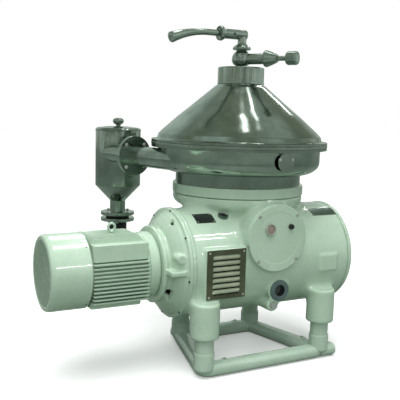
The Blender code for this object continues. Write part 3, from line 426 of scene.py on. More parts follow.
def metal(name, colours, roughness, stretch, marks=0.05, blotch=0.0, metallic=1.0):
    # Bare metal: lines left by the polishing belt, running where the stretch is small, and cloudy reflections
    material, tree, shader = newMaterial(name, {"Metallic": metallic})
    place = addNode(tree, "TexCoord").outputs["Object"]
    along = addNode(tree, "Mapping", {"Scale": stretch}, {"Vector": place}).outputs["Vector"]
    lines = addNode(tree, "TexNoise", {"Scale": 1.0, "Detail": 5.0, "Roughness": 0.65},
        {"Vector": along}).outputs[0]
    cloud, tint = shaded(tree, place, colours, {"Scale": 11.0, "Detail": 4.0, "Roughness": 0.6})
    haze = addNode(tree, "MapRange", rangeTo(0.15, 0.35), {0: cloud}).outputs[0]
    mixed = addNode(tree, "Math", {"operation": "MULTIPLY_ADD", 1: 0.5}, {0: lines, 2: haze}).outputs[0]
    gloss = addNode(tree, "MapRange", rangeTo(*roughness), {0: mixed}).outputs[0]
    scratch = addNode(tree, "Bump", {"Strength": marks, "Distance": 0.0004}, {"Height": lines}).outputs[0]
    dent = addNode(tree, "Bump", {"Strength": blotch, "Distance": 0.004},
        {"Height": cloud, "Normal": scratch})
    for socket, key in ((tint, "Base Color"), (gloss, "Roughness"), (dent.outputs[0], "Normal")):
        tree.links.new(socket, shader.inputs[key])
    return material


def plastic(name, colours, roughness, grain, settings=None):
    # Moulded plastic, rubber or glass: two close shades, a fine leathery grain and slightly uneven gloss
    material, tree, shader = newMaterial(name, settings or {"IOR": 1.5})
    place = addNode(tree, "TexCoord").outputs["Object"]
    speck, tint = shaded(tree, place, colours, {"Scale": 180.0, "Detail": 4.0})
    gloss = addNode(tree, "MapRange", rangeTo(*roughness), {0: speck}).outputs[0]
    bump = addNode(tree, "Bump", {"Strength": grain, "Distance": 0.0003}, {"Height": speck}).outputs[0]
    for socket, key in ((tint, "Base Color"), (gloss, "Roughness"), (bump, "Normal")):
        tree.links.new(socket, shader.inputs[key])
    return material


mint = ("#B9D0BB", "#AEC7B1", "#95B09B")
castEnamel = enamel("green enamel on cast iron", mint, (0.26, 0.36), 0.12, 0.16)
sheetEnamel = enamel("green enamel on pressed steel", mint, (0.22, 0.30), 0.08, 0.05)
tubeEnamel = enamel("green enamel on welded tube", ("#BCD1BF", "#AFC6B3", "#93AD99"), (0.26, 0.36), 0.10,
    0.08)
polishedStainless = metal("polished stainless sheet", ("#A7B3AA", "#8E9B92"), (0.07, 0.20), (4, 4, 420),
    0.04, 0.10)
turnedStainless = metal("turned stainless bar", ("#B3BDB6", "#98A49C"), (0.10, 0.24), (30, 30, 900), 0.05,
    0.04)
boltSteel = metal("zinc plated steel", ("#D3D6D1", "#B2B7B2"), (0.25, 0.42), (260, 260, 260), 0.08, 0.0,
    0.6)
levelMetal = metal("grey anodised aluminium ring", ("#8C9A9D", "#74848A"), (0.16, 0.30), (600, 600, 600),
    0.06)
louvreBronze = metal("dark bronzed steel plate", ("#7C7D69", "#666857"), (0.28, 0.42), (240, 240, 240),
    0.12)
louvreSteel = metal("brushed steel louvres", ("#E6E8D6", "#CDD0BC"), (0.26, 0.40), (300, 300, 300), 0.08)
plateMetal = metal("dark green-grey metal plate", ("#7C8C82", "#67776E"), (0.28, 0.40), (200, 900, 200),
    0.08)
castIron = metal("machined cast iron", ("#5C5F5D", "#474A49"), (0.38, 0.55), (180, 180, 180), 0.15)
groundSteel = metal("ground steel", ("#9A9D9A", "#7F8380"), (0.20, 0.34), (700, 700, 700), 0.06)
gearBronze = metal("gear bronze", ("#B08A4A", "#93713A"), (0.24, 0.40), (400, 400, 400), 0.08)
copperWinding = metal("copper winding", ("#B4693F", "#8E4C2C"), (0.35, 0.50), (20, 900, 900), 0.25)
blackPlastic = plastic("black moulded plastic", ("#17191A", "#222526"), (0.30, 0.45), 0.15)
blackRubber = plastic("black nitrile rubber", ("#141414", "#1E1E1D"), (0.50, 0.70), 0.25)
darkGlass = plastic("oil-dark sight glass", ("#0D0B0A", "#171311"), (0.06, 0.14), 0.02,
    {"IOR": 1.5, "Coat Weight": 1.0})
roseGlass = plastic("tinted sight glass", ("#B3A094", "#94827A"), (0.05, 0.12), 0.02,
    {"IOR": 1.5, "Coat Weight": 1.0})
# painted shade: a near-black finish for screws and slots that sit in shadow, standing in for the shade that
# falls there
paintedShade = plastic("shaded inside", ("#0B0D0C", "#121513"), (0.7, 0.9), 0.1)
print("materials made")

# CAD nodes that keep their shape get a finish
nodeFinishes = [(groundSteel, ["motor_front_bearing", "motor_rear_bearing", "foot_bearing", "neck_bearing",
    "drive_left_bearing", "drive_right_bearing", "drive_shaft", "motor_shaft", "bowl_spindle",
    "helical_pinion"]), (castIron, ["clutch_drum", "clutch_shoes", "rotor_core"]),
    (turnedStainless, ["bowl_body", "sliding_bowl_bottom", "disc_stack", "bowl_top", "bowl_lock_ring",
    "feed_tube_and_pump_disc"]), (gearBronze, ["helical_wheel"]), (copperWinding, ["stator_core"]),
    (blackPlastic, ["cooling_fan"]), (castEnamel, ["motor_rear_shield"])]
for material, nodes in nodeFinishes:
    for node in nodes:
        slots = frame["nodes"][node].data.materials
        slots.clear()
        slots.append(material)


# bolts, tubes and rods, each in its own upright frame; a bolt's seat is at height 0

def hexBolt(size=0.010, tall=0.006):
    # a six-sided head with a chamfered top on a round washer
    washer = turned(rounded([(0, -0.001), (size * 0.98, -0.001), (size * 0.98, 0.0015), (0, 0.0015)],
        0.0005, False, 2), 24)
    head = turned([(0, 0), (size * 0.86, 0), (size * 0.86, tall * 0.85), (size * 0.72, tall), (0, tall)], 6)
    return joined([washer, head])


def domeBolt(size=0.007, tall=0.007):
    # a domed nut: a six-sided skirt under a round cap
    skirt = turned([(0, -0.001), (size, -0.001), (size, tall * 0.5), (size * 0.85, tall * 0.6),
        (0, tall * 0.6)], 6)
    angle = np.linspace(0, math.pi / 2, 6)
    dome = np.stack([size * 0.8 * np.cos(angle), tall * (0.5 + 0.5 * np.sin(angle))], 1)
    return joined([skirt, turned([(0, 0), (size * 0.8, 0), *dome[:-1], (0, tall)], 20)])


def socketScrew(size=0.006, tall=0.005):
    # a round head with a shallow six-sided recess
    return turned([(0, -0.001), (size, -0.001), (size, tall * 0.8), (size * 0.85, tall), (size * 0.5, tall),
        (size * 0.42, tall * 0.5), (0, tall * 0.5)], 18)


def tube(inner, outer, low, high, edge=0.001, sides=64):
    return turned(rounded([(inner, low), (outer, low), (outer, high), (inner, high)], edge), sides)


def rodShape(radius, low, high, sides=64):
    return turned([(0, low), (radius, low), (radius, high), (0, high)], sides)


# housing casting

housing = {"barrelRadius": 0.247, "barrelLeft": -0.411, "barrelRight": 0.440, "wall": 0.015,
           "flangeRadius": 0.2535, "flangeRight": -0.397, "collarSeat": 0.7835, "flareFoot": 0.455,
           "flare": [(0.318, 0.7835), (0.3175, 0.758), (0.306, 0.738), (0.272, 0.716), (0.236, 0.684),
                     (0.205, 0.640), (0.165, 0.555), (0.130, 0.455)],
           "funnel": [(0.240, 0.7835), (0.232, 0.735), (0.172, 0.640), (0.105, 0.455)],
           "bossRadius": 0.154, "bossZ": 0.617, "bossFace": 0.3637,
           "levelPlace": (0.042, 0.361), "drainPlace": (0.014, 0.291),  # x and z on the front
           "socket": (0.066, 0.183, 0.345), "legHole": (0.0428, 0.10, 0.2403),  # radius, low, high
           "step": 0.0072}  # size of a cell of the net
legPlaces = [(-0.341, -0.330), (0.294, -0.330), (0.184, 0.130), (-0.232, 0.130)]
grille = {"x": (-0.348, -0.151), "z": (0.356, 0.578), "face": -0.348, "border": 0.026, "louvres": 7}


def castingDistance(points):
    # barrel, flare under the collar, bosses, pads and leg sockets melted together, with the hollow carved out
    x, y, z = points.T
    across = np.hypot(y - shaftY, z - shaftZ)
    fromSpindle = np.hypot(x, y)
    fromBoss = np.hypot(x, z - housing["bossZ"])
    fromLevel, fromDrain = (np.hypot(x - a, z - b) for a, b in (housing["levelPlace"],
        housing["drainPlace"]))
    barrelLeft, seat, foot = housing["barrelLeft"], housing["collarSeat"], housing["flareFoot"]
    form = drumDistance(across, x, housing["barrelRadius"], barrelLeft, housing["barrelRight"], 0.003)
    flange = drumDistance(across, x, housing["flangeRadius"], barrelLeft, housing["flangeRight"], 0.003)
    form = melted(form, flange, 0.004)
    curve = flowing(housing["flare"])[::-1]
    radius = np.interp(z, curve[:, 1], curve[:, 0])
    tilt = np.interp(z, curve[:, 1], np.gradient(curve[:, 0], curve[:, 1]))
    flare = np.maximum((fromSpindle - radius) / np.hypot(1, tilt), np.maximum(z - seat, foot - z))
    form = melted(form, flare, 0.045)
    fromLegs = [np.hypot(x - a, y - b) for a, b in legPlaces]
    form = melted(form, np.min([drumDistance(away, z, *housing["socket"], 0.009) for away in fromLegs], 0),
        0.050)
    form = melted(form, drumDistance(fromBoss, -y, housing["bossRadius"], 0.20, housing["bossFace"], 0.004),
        0.024)
    (x0, x1), (z0, z1), face = grille["x"], grille["z"], grille["face"]
    pad = boxDistance(points, (x0 - 0.004, face, z0 - 0.004), (x1 + 0.004, -0.22, z1 + 0.004), 0.004)
    form = melted(form, pad, 0.010)
    planed = boxDistance(points, (x0 - 0.008, -0.45, z0 - 0.008), (x1 + 0.008, face + 0.0001, z1 + 0.008),
        0.002)
    form = np.maximum(form, -planed)
    form = melted(form, boxDistance(points, (0.269, -0.352, 0.432), (0.367, -0.30, 0.513), 0.005), 0.012)
    form = melted(form, drumDistance(fromLevel, -y, 0.056, 0.25, 0.3385, 0.004), 0.020)
    form = melted(form, drumDistance(fromDrain, -y, 0.030, 0.22, 0.335, 0.004), 0.022)
    inner = housing["barrelRadius"] - housing["wall"]
    hollow = drumDistance(across, x, inner, barrelLeft + housing["wall"], 0.60, 0.002)
    webs = np.minimum(np.abs(x + 0.1225), np.abs(x - 0.2075)) - 0.0075
    hollow = np.maximum(hollow, -np.maximum(webs, 0.045 - across))
    hollow = np.minimum(hollow, drumDistance(across, x, 0.150, -0.50, -0.30, 0.002))
    funnel = np.array(housing["funnel"])[::-1]
    funnelGap = fromSpindle - np.interp(z, funnel[:, 1], funnel[:, 0])
    hollow = np.minimum(hollow, np.maximum(funnelGap, 0.56 - z))
    border = grille["border"]
    openings = [drumDistance(fromBoss, -y, 0.125, 0.20, 0.40, 0.002),
        drumDistance(fromLevel, -y, 0.0303, 0.20, 0.40, 0.001), drumDistance(fromDrain, -y, 0.0123, 0.20,
        0.40, 0.001), boxDistance(points, (x0 + border, -0.40, z0 + border),
        (x1 - border, -0.24, z1 - border), 0.002)]
    openings += [drumDistance(away, z, *housing["legHole"], 0.001) for away in fromLegs]
    for opening in openings:
        hollow = np.minimum(hollow, opening)
    return carved(form, hollow, 0.003)


casting = netSurface(castingDistance, (-0.43, -0.42, 0.165), (0.46, 0.335, 0.80), housing["step"])
addPiece("housing_casting", [casting], castEnamel, "main_housing", sharp=180, weighted=False)
turnedPiece("housing_collar", "main_housing", castEnamel, 160,
    [(0.060, 0.7855), (0.3185, 0.7855), (0.3215, 0.7885), (0.3215, 0.8317), (0.295, 0.8317), (0.295, 0.806),
    (0.060, 0.806)], 0.0025)
# the flange screws get the painted shade finish, drawn dark as the shadowed seam between lantern and flange
screws = around(hexBolt(0.0055, 0.0045), 8, 0.2462, onDrive, left, -0.178, 0.4272)
addPiece("lantern_flange_screws", [screws], paintedShade, "motor_lantern")
turnedPiece("end_cover_shell", "end_cover", castEnamel, 128,
    [(0, 0.4403), (0.2495, 0.4403), (0.2495, 0.4560), (0.2340, 0.4695), (0, 0.4700)], 0.010, onDrive, right,
    8)
print("housing cast")

# gear cover and what is on it

coverFace = 0.3640
bossPlace = (0, 0, housing["bossZ"])
gearFace = {"radius": 0.1538, "screws": 0.144, "glass": (-0.044, 0.659), "probe": (0.066, 0.667)}
turnedPiece("gear_cover_disc", "gear_cover", castEnamel, 128,
    [(0, coverFace), (gearFace["radius"], coverFace), (gearFace["radius"], coverFace + 0.012),
    (0.120, coverFace + 0.012), (0.118, coverFace + 0.0112), (0, coverFace + 0.0112)], 0.003, bossPlace,
    front)
addPiece("gear_cover_screws", [around(socketScrew(0.0070, 0.0045), 4, gearFace["screws"], bossPlace, front,
    0.5, coverFace + 0.012)], boltSteel, "gear_cover")
ring = rounded([(0.0205, 0.3760), (0.0270, 0.3760), (0.0270, 0.3820), (0.0255, 0.3858), (0.0222, 0.3858),
    (0.0205, 0.3830)], 0.0012)
glassPlace = (gearFace["glass"][0], 0, gearFace["glass"][1])
addPiece("sight_glass_ring", [placed(turned(ring, 48), glassPlace, front)], boltSteel, "sight_glass_bezel")
turnedPiece("sight_glass_lens", "sight_glass", roseGlass, 48,
    [(0, 0.3760), (0.0203, 0.3760), (0.0203, 0.3790), (0.0160, 0.3806), (0.0080, 0.3816), (0, 0.3819)],
    place=glassPlace, way=front)
turnedPiece("speed_probe_head", "speed_probe", blackPlastic, 32,
    [(0, 0.3760), (0.0125, 0.3760), (0.0125, 0.3850), (0.0100, 0.3920), (0, 0.3920)], 0.0012,
    (gearFace["probe"][0], 0, gearFace["probe"][1]), front)

# oil level ring, drain plug, filler cap

levelSeat, levelPlace = 0.3388, (housing["levelPlace"][0], 0, housing["levelPlace"][1])
turnedPiece("oil_level_bezel", "oil_level_ring", levelMetal, 64,
    [(0.0260, levelSeat - 0.018), (0.0300, levelSeat - 0.018), (0.0300, levelSeat), (0.0500, levelSeat),
    (0.0500, levelSeat + 0.0075), (0.0455, levelSeat + 0.0115), (0.0300, levelSeat + 0.0115),
    (0.0260, levelSeat + 0.0085)], 0.0018, levelPlace, front)
turnedPiece("oil_level_lens", "oil_level_glass", darkGlass, 48,
    [(0, levelSeat - 0.018), (0.0258, levelSeat - 0.018), (0.0258, levelSeat - 0.009),
    (0.015, levelSeat - 0.008), (0, levelSeat - 0.0078)], place=levelPlace, way=front)
plugPlace = (housing["drainPlace"][0], -0.3353, housing["drainPlace"][1])
washer = turned(rounded([(0, 0), (0.0195, 0), (0.0195, 0.002), (0, 0.002)], 0.0006, False), 40)
addPiece("oil_drain_bolt", [placed(joined([washer, placed(hexBolt(0.0165, 0.0078))]), plugPlace, front)],
    boltSteel, "oil_drain_plug")
fillerAngle = math.radians(63)
fillerWay = np.array((0, -math.cos(fillerAngle), math.sin(fillerAngle)))
fillerSeat = np.array((-0.199, shaftY, shaftZ)) + fillerWay * 0.2472
turnedPiece("oil_filler_rim", "oil_filler_cap", plateMetal, 48,
    [(0.0190, 0), (0.0248, 0), (0.0248, 0.0085), (0.0225, 0.0125), (0.0195, 0.0125), (0.0190, 0.0090)],
    0.001, fillerSeat, fillerWay)
turnedPiece("oil_filler_dome", "oil_filler_cap", blackPlastic, 40,
    [(0, 0), (0.0189, 0), (0.0189, 0.0085), (0.0150, 0.0110), (0.0080, 0.0128), (0, 0.0134)],
    place=fillerSeat, way=fillerWay)


onPaint = housing["barrelRadius"] + 0.0003  # where a fitting sits on the barrel


def bentPlate(leftX, rightX, lowAngle, highAngle, thickness):
    # a plate bent round the barrel: point (i, j) stands at angle i on ring j of its section
    angle = np.radians(np.linspace(lowAngle, highAngle, 15))[:, None]
    inner, outer = onPaint, onPaint + thickness
    section = np.array([(leftX, inner), (rightX, inner), (rightX, outer - 0.0004), (rightX - 0.0008, outer),
        (leftX + 0.0008, outer), (leftX, outer - 0.0004)])
    rings = np.stack([section[:, 0] + 0 * angle, shaftY - section[:, 1] * np.cos(angle),
        shaftZ + section[:, 1] * np.sin(angle)], -1)
    ends = [np.broadcast_to(ring.mean(0), (1, 6, 3)) for ring in (rings[0], rings[-1])]
    return np.concatenate([ends[0], rings, ends[1]]).reshape(-1, 3), gridFaces(17, 6, False)


def onBarrel(x, angle, lift):
    angle = math.radians(angle)
    way = np.array((0, -math.cos(angle), math.sin(angle)))
    return np.array((x, shaftY, shaftZ)) + way * (onPaint + lift), way


# a plate's span: its left and right x, and its low and high angle
blankPlates = {"left_plate": ("left_blank_plate", (-0.347, -0.251, 54, 69.5), blackPlastic),
    "right_plate": ("right_blank_plate", (0.295, 0.437, 55, 68.5), plateMetal)}
for name, (node, span, material) in blankPlates.items():
    addPiece(name, [bentPlate(*span, 0.0015)], material, node)
    places = [(x, angle) for x in (span[0] + 0.008, span[1] - 0.008) for angle in (span[2] + 1.8,
        span[3] - 1.8)]
    pins = [placed(domeBolt(0.0032, 0.0020), *onBarrel(x, angle, 0.0012)) for x, angle in places]
    addPiece(name + "_pins", pins, boltSteel, node)
print("fittings made")


# louvred vent

def louvre(width, reach, tall):
    # a pressed slot cover: height rises as sin(pi u) across it and falls to nothing at its rounded ends
    u = np.linspace(0, 1, 9)[:, None]
    v = np.linspace(-1, 1, 25)[None, :]
    ends = np.clip(1 - np.abs(v) ** 10, 0, 1) ** 0.5
    top = np.stack([v * width / 2 + 0 * u, (u - 0.5) * tall * (0.55 + 0.45 * ends),
        reach * ends * np.sin(math.pi * u) ** 0.8], -1)
    base = top * (1, 1, 0) - (0, 0, 0.001)
    ring = np.concatenate([top, base[::-1]])
    faces = gridFaces(ring.shape[1], ring.shape[0], False)
    return ring.transpose(1, 0, 2).reshape(-1, 3), faces


grilleX, grilleZ = np.mean(grille["x"]), np.mean(grille["z"])
grilleWide, grilleTall = grille["x"][1] - grille["x"][0], grille["z"][1] - grille["z"][0]
grillePlace = (grilleX, grille["face"], grilleZ)
backing = plate(grilleWide, grilleTall, 0, 0.0024, 0.006, 0.0008, grillePlace, front)
rows = (np.arange(grille["louvres"]) - (grille["louvres"] - 1) / 2) * 0.0255
slats = [placed(placed(louvre(0.138, 0.0066, 0.0205), (0, row, 0.0022)), grillePlace,
    front) for row in rows]
# painted shadow: a dark sheet under each louvre stands in for the shade inside its slot
slotShadows = [plate(0.130, 0.0060, 0.0020, 0.0034, 0.003, 0.0005) for row in rows]
slotShadows = [placed(placed(gap, (0, row - 0.0120, 0)), grillePlace, front) for gap, row in zip(slotShadows, rows)]
addPiece("vent_louvre_plate", [backing], louvreBronze, "vent_grille")
addPiece("vent_louvres", slats, louvreSteel, "vent_grille")
addPiece("vent_slots", slotShadows, paintedShade, "vent_grille")
corners = [(a * (grilleWide / 2 - 0.012), b * (grilleTall / 2 - 0.012)) for a in (-1, 1) for b in (-1, 1)]
addPiece("vent_screws", [placed(placed(socketScrew(0.0050, 0.0030), (a, b, 0.0024)), grillePlace,
    front) for a, b in corners], boltSteel, "vent_grille")

# motor

fanCover = {"mesh": 0.0080, "wire": 0.0010, "meshRadius": 0.1420}
turnedPiece("fan_cover_shell", "fan_cover", sheetEnamel, 128,
    [(0.1400, -1.0035), (0.1450, -1.0068), (0.1600, -1.0030), (0.1650, -0.9880), (0.1650, -0.8420),
    (0.1650, -0.8343), (0.1622, -0.8343), (0.1622, -0.9860), (0.1580, -0.9990), (0.1400, -1.0010)], 0.006,
    onDrive, right)
lines = np.arange(-17, 18) * fanCover["mesh"]
reach = np.sqrt(fanCover["meshRadius"] ** 2 - lines ** 2)
ends = [np.stack([lines * 0 - 1.0030, shaftY + lines, shaftZ + side * reach], 1) for side in (-1, 1)]
crossEnds = [np.stack([lines * 0 - 1.0046, shaftY + side * reach, shaftZ + lines], 1) for side in (-1, 1)]
addPiece("fan_cover_mesh", [rods(*ends, fanCover["wire"]), rods(*crossEnds, fanCover["wire"])], sheetEnamel,
    "fan_cover")
# the fan cover screws get the painted shade finish, drawn as dark heads
coverScrews = [placed(placed(socketScrew(0.0042, 0.0025), (0, 0, 0.1630)), (-0.845, shaftY, shaftZ),
    (0, -math.cos(a), math.sin(a))) for a in np.radians((48, -48, 132, -132))]
addPiece("fan_cover_screws", coverScrews, paintedShade, "fan_cover")

stator = {"left": -0.834, "right": -0.5673, "core": 0.1370, "half": 0.1575, "fins": 11, "lowest": -0.118,
    "pitch": 0.0168, "thick": 0.0072, "ribs": 17, "ribPitch": 0.0125, "ribThick": 0.0045, "reach": 0.162}
body = rounded([(0.112, stator["left"]), (0.1480, stator["left"]), (0.1480, stator["left"] + 0.010),
    (stator["core"], stator["left"] + 0.013), (stator["core"], stator["right"] - 0.013),
    (0.1480, stator["right"] - 0.010), (0.1480, stator["right"]), (0.112, stator["right"])], 0.0025)
statorShapes = [placed(turned(body, 96), onDrive, right)]
finLength = stator["right"] - stator["left"] - 0.016
middleX = (stator["left"] + stator["right"]) / 2


def finReach(offset):
    # half (1 - |offset / reach|^4)^(1/4): the motor's section is a squarish curve
    return stator["half"] * (1 - min(abs(offset / stator["reach"]), 1) ** 4) ** 0.25


for k in range(stator["fins"]):
    height = stator["lowest"] + stator["pitch"] * k
    for side in (-1, 1):
        statorShapes.append(plate(finLength, stator["thick"], 0.10, finReach(height), 0.0028, 0.0012,
            (middleX, shaftY, shaftZ + height), (0, side, 0)))
for k in range(stator["ribs"]):
    offset = stator["ribPitch"] * (k - (stator["ribs"] - 1) / 2)
    top, half = finReach(offset), finLength / 2
    outline = rounded([(-half, 0.105), (half, 0.105), (half, 0.128), (half - 0.030, top),
        (4 * 0.003 - half, top), (-half, top - 0.012)], 0.003)
    section = rounded([(-0.0025, -stator["ribThick"] / 2), (0, -stator["ribThick"] / 2),
        (0, stator["ribThick"] / 2), (-0.0025, stator["ribThick"] / 2)], 0.0008, False)
    statorShapes.append(platter(outline, section, (middleX, shaftY + offset, shaftZ), front))
for side in (-1, 1):
    shoulder = plate(finLength, 0.106, 0.058, 0.1330, 0.015, 0.006,
        (middleX, shaftY + side * 0.093, shaftZ))
    foot = plate(finLength - 0.02, 0.060, -0.1530, -0.050, 0.013, 0.005,
        (middleX - 0.006, shaftY + side * 0.070, shaftZ))
    statorShapes += [shoulder, foot]
addPiece("motor_fin_frame", statorShapes, castEnamel, "motor_stator_frame")
turnedPiece("motor_front_shield", "motor_end_shield", castEnamel, 96,
    [(0.138, -0.5670), (0.150, -0.5670), (0.150, -0.5240), (0.145, -0.5163), (0.040, -0.5163),
    (0.040, -0.530), (0.138, -0.530)], 0.004, onDrive, right)
eyeFoot = shaftZ + 0.1583


def torus(middle, big, small, way, sides=16, steps=48):
    # point (i, j) is on a circle of the small radius carried round the big one
    angle = turn * np.arange(sides) / sides
    profile = np.stack([big + small * np.cos(angle), small * np.sin(angle)], 1)
    return placed(turned(profile, steps), middle, way)


eyeStem = turned(rounded([(0, 0), (0.0110, 0), (0.0110, 0.005), (0.0065, 0.010), (0, 0.010)], 0.002, False),
    32)
addPiece("lifting_eye_bolt", [torus((-0.696, shaftY, eyeFoot + 0.0235), 0.0155, 0.0055, front),
    placed(eyeStem, (-0.696, shaftY, eyeFoot))], castEnamel, "lifting_eye")
boxNear = shaftY + 0.1583
addPiece("terminal_box_shell", [plate(0.120, 0.110, 0, 0.046, 0.008, 0.003, (-0.700, boxNear, shaftZ),
    (0, 1, 0)), plate(0.120, 0.110, 0.0465, 0.0618, 0.008, 0.004, (-0.700, boxNear, shaftZ), (0, 1, 0))],
    castEnamel, "terminal_box")
lidScrews = [placed(socketScrew(0.0045, 0.003), (-0.700 + a * 0.050, boxNear + 0.0588, shaftZ + b * 0.045),
    (0, 1, 0)) for a in (-1, 1) for b in (-1, 1)]
turnedPiece("terminal_box_gland", "terminal_box", blackPlastic, 24,
    [(0, 0), (0.0120, 0), (0.0120, 0.012), (0.0095, 0.014), (0.0095, 0.021), (0, 0.0215)], 0.001,
    (-0.700, boxNear + 0.031, shaftZ - 0.0555), (0, 0, -1))
addPiece("terminal_box_screws", lidScrews, boltSteel, "terminal_box")

# lantern between motor and housing

lantern = {"outline": [(0.120, -0.5158), (0.175, -0.5158), (0.175, -0.4985), (0.168, -0.4960),
    (0.168, -0.4800), (0.188, -0.4720), (0.208, -0.4600), (0.230, -0.4430), (0.240, -0.4300),
    (0.2535, -0.4265), (0.2535, -0.4113), (0.222, -0.4113), (0.222, -0.4330), (0.192, -0.4530),
    (0.158, -0.4700), (0.152, -0.4870), (0.120, -0.4870)], "step": 0.0046}


def lanternDistance(points):
    # a turned bell with a rib at axis height front and back, a boss above the rib and a window below it
    x, y, z = points.T
    across = np.hypot(y - shaftY, z - shaftZ)
    bell = outlineDistance(across, x, lantern["outline"]) - 0.0003
    reach = np.abs(y - shaftY)
    rib = np.maximum(np.abs(z - shaftZ) - 0.010, np.maximum(reach - 0.236,
        np.maximum(0.17 - reach, np.abs(x + 0.462) - 0.045)))
    form = melted(bell, np.maximum(rib, x + 0.4125), 0.010)
    boss = drumDistance(np.hypot(x + 0.458, z - shaftZ - 0.062), reach, 0.020, 0.17, 0.226, 0.003)
    form = melted(form, boss, 0.010)
    for side in (-1, 1):
        middle = shaftY + side * 0.19
        window = boxDistance(points, (-0.494, middle - 0.08, shaftZ - 0.152),
            (-0.468, middle + 0.08, shaftZ - 0.088), 0.008)
        form = carved(form, window, 0.004)
    slot = boxDistance(points, (-0.460, shaftY - 0.108, shaftZ + 0.190),
        (-0.440, shaftY - 0.080, shaftZ + 0.250), 0.003)
    return carved(form, slot, 0.002)


bell = netSurface(lanternDistance, (-0.53, -0.37, 0.21), (-0.40, 0.17, 0.755), lantern["step"])
addPiece("lantern_bell", [bell], castEnamel, "motor_lantern", sharp=180, weighted=False)
addPiece("motor_flange_screws", [around(hexBolt(0.0065, 0.0050), 8, 0.1615, onDrive, right, 0.35, -0.4972)],
    boltSteel, "motor_lantern")
print("motor made")

# stand

stand = {"leg": 0.0425, "sleeve": 0.0468, "sleeveLow": 0.030, "sleeveTop": 0.115, "rail": 0.0385,
    "railZ": 0.0320, "flat": 0.81, "runOn": 0.085}
leg, sleeve, sleeveLow, sleeveTop = (stand[key] for key in ("leg", "sleeve", "sleeveLow", "sleeveTop"))
legProfile = rounded([(0, 0.060), (leg, 0.060), (leg, 0.2400), (leg - 0.004, 0.2400), (leg - 0.004, 0.0800),
    (0, 0.0800)], 0.0008, False)
sleeveProfile = rounded([(0, sleeveLow), (sleeve - 0.008, sleeveLow), (sleeve, sleeveLow + 0.012),
    (sleeve, sleeveTop), (leg - 0.001, sleeveTop), (leg - 0.001, 0.100), (0, 0.100)], 0.003, False)
corners = np.array([(a, b, stand["railZ"]) for a, b in legPlaces])
standShapes = [sweep(rounded(corners, 0.040, True, 8), stand["rail"], 40, True, 2.6, stand["flat"])]
for end, ahead in ((1, (1, 0, 0)), (3, corners[3] - corners[0])):
    ahead = np.array(ahead) / np.linalg.norm(ahead)
    reach = np.array([0, stand["runOn"] - 0.012, stand["runOn"] - 0.004, stand["runOn"]])
    narrowing = stand["rail"] * np.array([0.97, 0.97, 0.90, 0.72])
    standShapes.append(sweep(corners[end] + ahead * reach[:, None], narrowing, 40, False, 2.4,
        stand["flat"]))
    ringAt = reach[1] - 0.010
    standShapes.append(sweep(corners[end] + ahead * np.array([[ringAt - 0.004], [ringAt + 0.004]]),
        stand["rail"] * 1.02, 40, False, 2.4, stand["flat"]))
for a, b in legPlaces:
    standShapes += [placed(turned(legProfile, 64), (a, b, 0)), placed(turned(sleeveProfile, 64), (a, b, 0)),
        torus((a, b, sleeveTop - 0.0015), leg + 0.0015, 0.0028, up, 10, 64)]
bossPlaces = [corners[0] + (corners[1] - corners[0]) * 0.17, corners[1] + (corners[2] - corners[1]) * 0.22,
    corners[2] + (corners[3] - corners[2]) * 0.22]
railTop = stand["railZ"] + stand["rail"] * stand["flat"]
for place in bossPlaces:
    bossProfile = rounded([(0, -0.010), (0.0240, -0.010), (0.0225, 0.004), (0.0120, 0.0065), (0, 0.0065)],
        0.003, False)
    standShapes.append(placed(turned(bossProfile, 40), (place[0], place[1], railTop - 0.002)))
addPiece("stand_tubes", standShapes, tubeEnamel, "stand_frame")
anchorBolts = [placed(hexBolt(0.0085, 0.006), (place[0], place[1], railTop + 0.0045))
    for place in bossPlaces]
addPiece("stand_anchor_bolts", anchorBolts, boltSteel, "stand_frame")
print("stand made")

# sludge catcher and rim

# every outline from here on is a list of (radius, height) round its axis
bandTop, bend = 0.885, math.pi / 2 * np.linspace(0, 1, 17)[1:]
catcherOut = [(0.3075, 0.8323), (0.3075, bandTop)] + [(0.3075 + 0.0905 * math.sin(a),
    0.945 - 0.060 * math.cos(a)) for a in bend]
catcherIn = [(r - 0.004, z + 0.002) for r, z in catcherOut[::-1]]
catcher = ([(0.100, 0.8323)] + catcherOut + [(0.398, 0.9995), (0.4015, 1.0042), (0.4085, 1.0050),
    (0.430, 1.0050), (0.430, 1.0165), (0.394, 1.0165), (0.394, 0.947)] + catcherIn[1:-1] + [(0.3035,
    0.8363), (0.100, 0.8363)])
sludge = {"start": (-0.333, -0.0894, 0.947), "heading": (-0.259, 0.966, 0), "outer": 0.050, "inner": 0.0465,
    "flange": 0.0998, "joint": 0.3953}
sludgeStart = np.array(sludge["start"])
sludgeWay = np.array(sludge["heading"]) / math.hypot(*sludge["heading"])
onSludge = (sludgeStart, sludgeWay)
portPlace = (0.004, 0, 0.9615)
pipeHole = placed(rodShape(0.0464, 0.05, 0.45), *onSludge)
portHole = placed(rodShape(0.036, 0.34, 0.42, 48), (-0.014, 0, 0.9615), front)
pan = cutShape(cutShape(turned(catcher, 160), pipeHole), portHole)
addPiece("sludge_pan", [pan], polishedStainless, "sludge_catcher", weighted=False)
bossHole = placed(rodShape(0.036, 0.34, 0.42, 48), (-0.018, 0, 0), up)
bossOutline = rounded([(0, 0.385), (0.0438, 0.385), (0.0438, 0.4035), (0, 0.4035)], 0.0012, False)
boss = cutShape(turned(bossOutline, 64), bossHole)
addPiece("port_boss", [placed(boss, portPlace, front)], turnedStainless, "sludge_catcher",
    weighted=False)
roomInside = turned([(0, catcherIn[-1][1] - 0.05)] + [(r + 0.0015, z - 0.001) for r, z in catcherIn[::-1]]
    + [(catcherIn[0][0] + 0.0015, 1.02), (0, 1.02)], 128)
nearPipe = cutShape(placed(tube(sludge["inner"], sludge["outer"], 0.02, sludge["joint"] - 0.0005),
    *onSludge), roomInside)
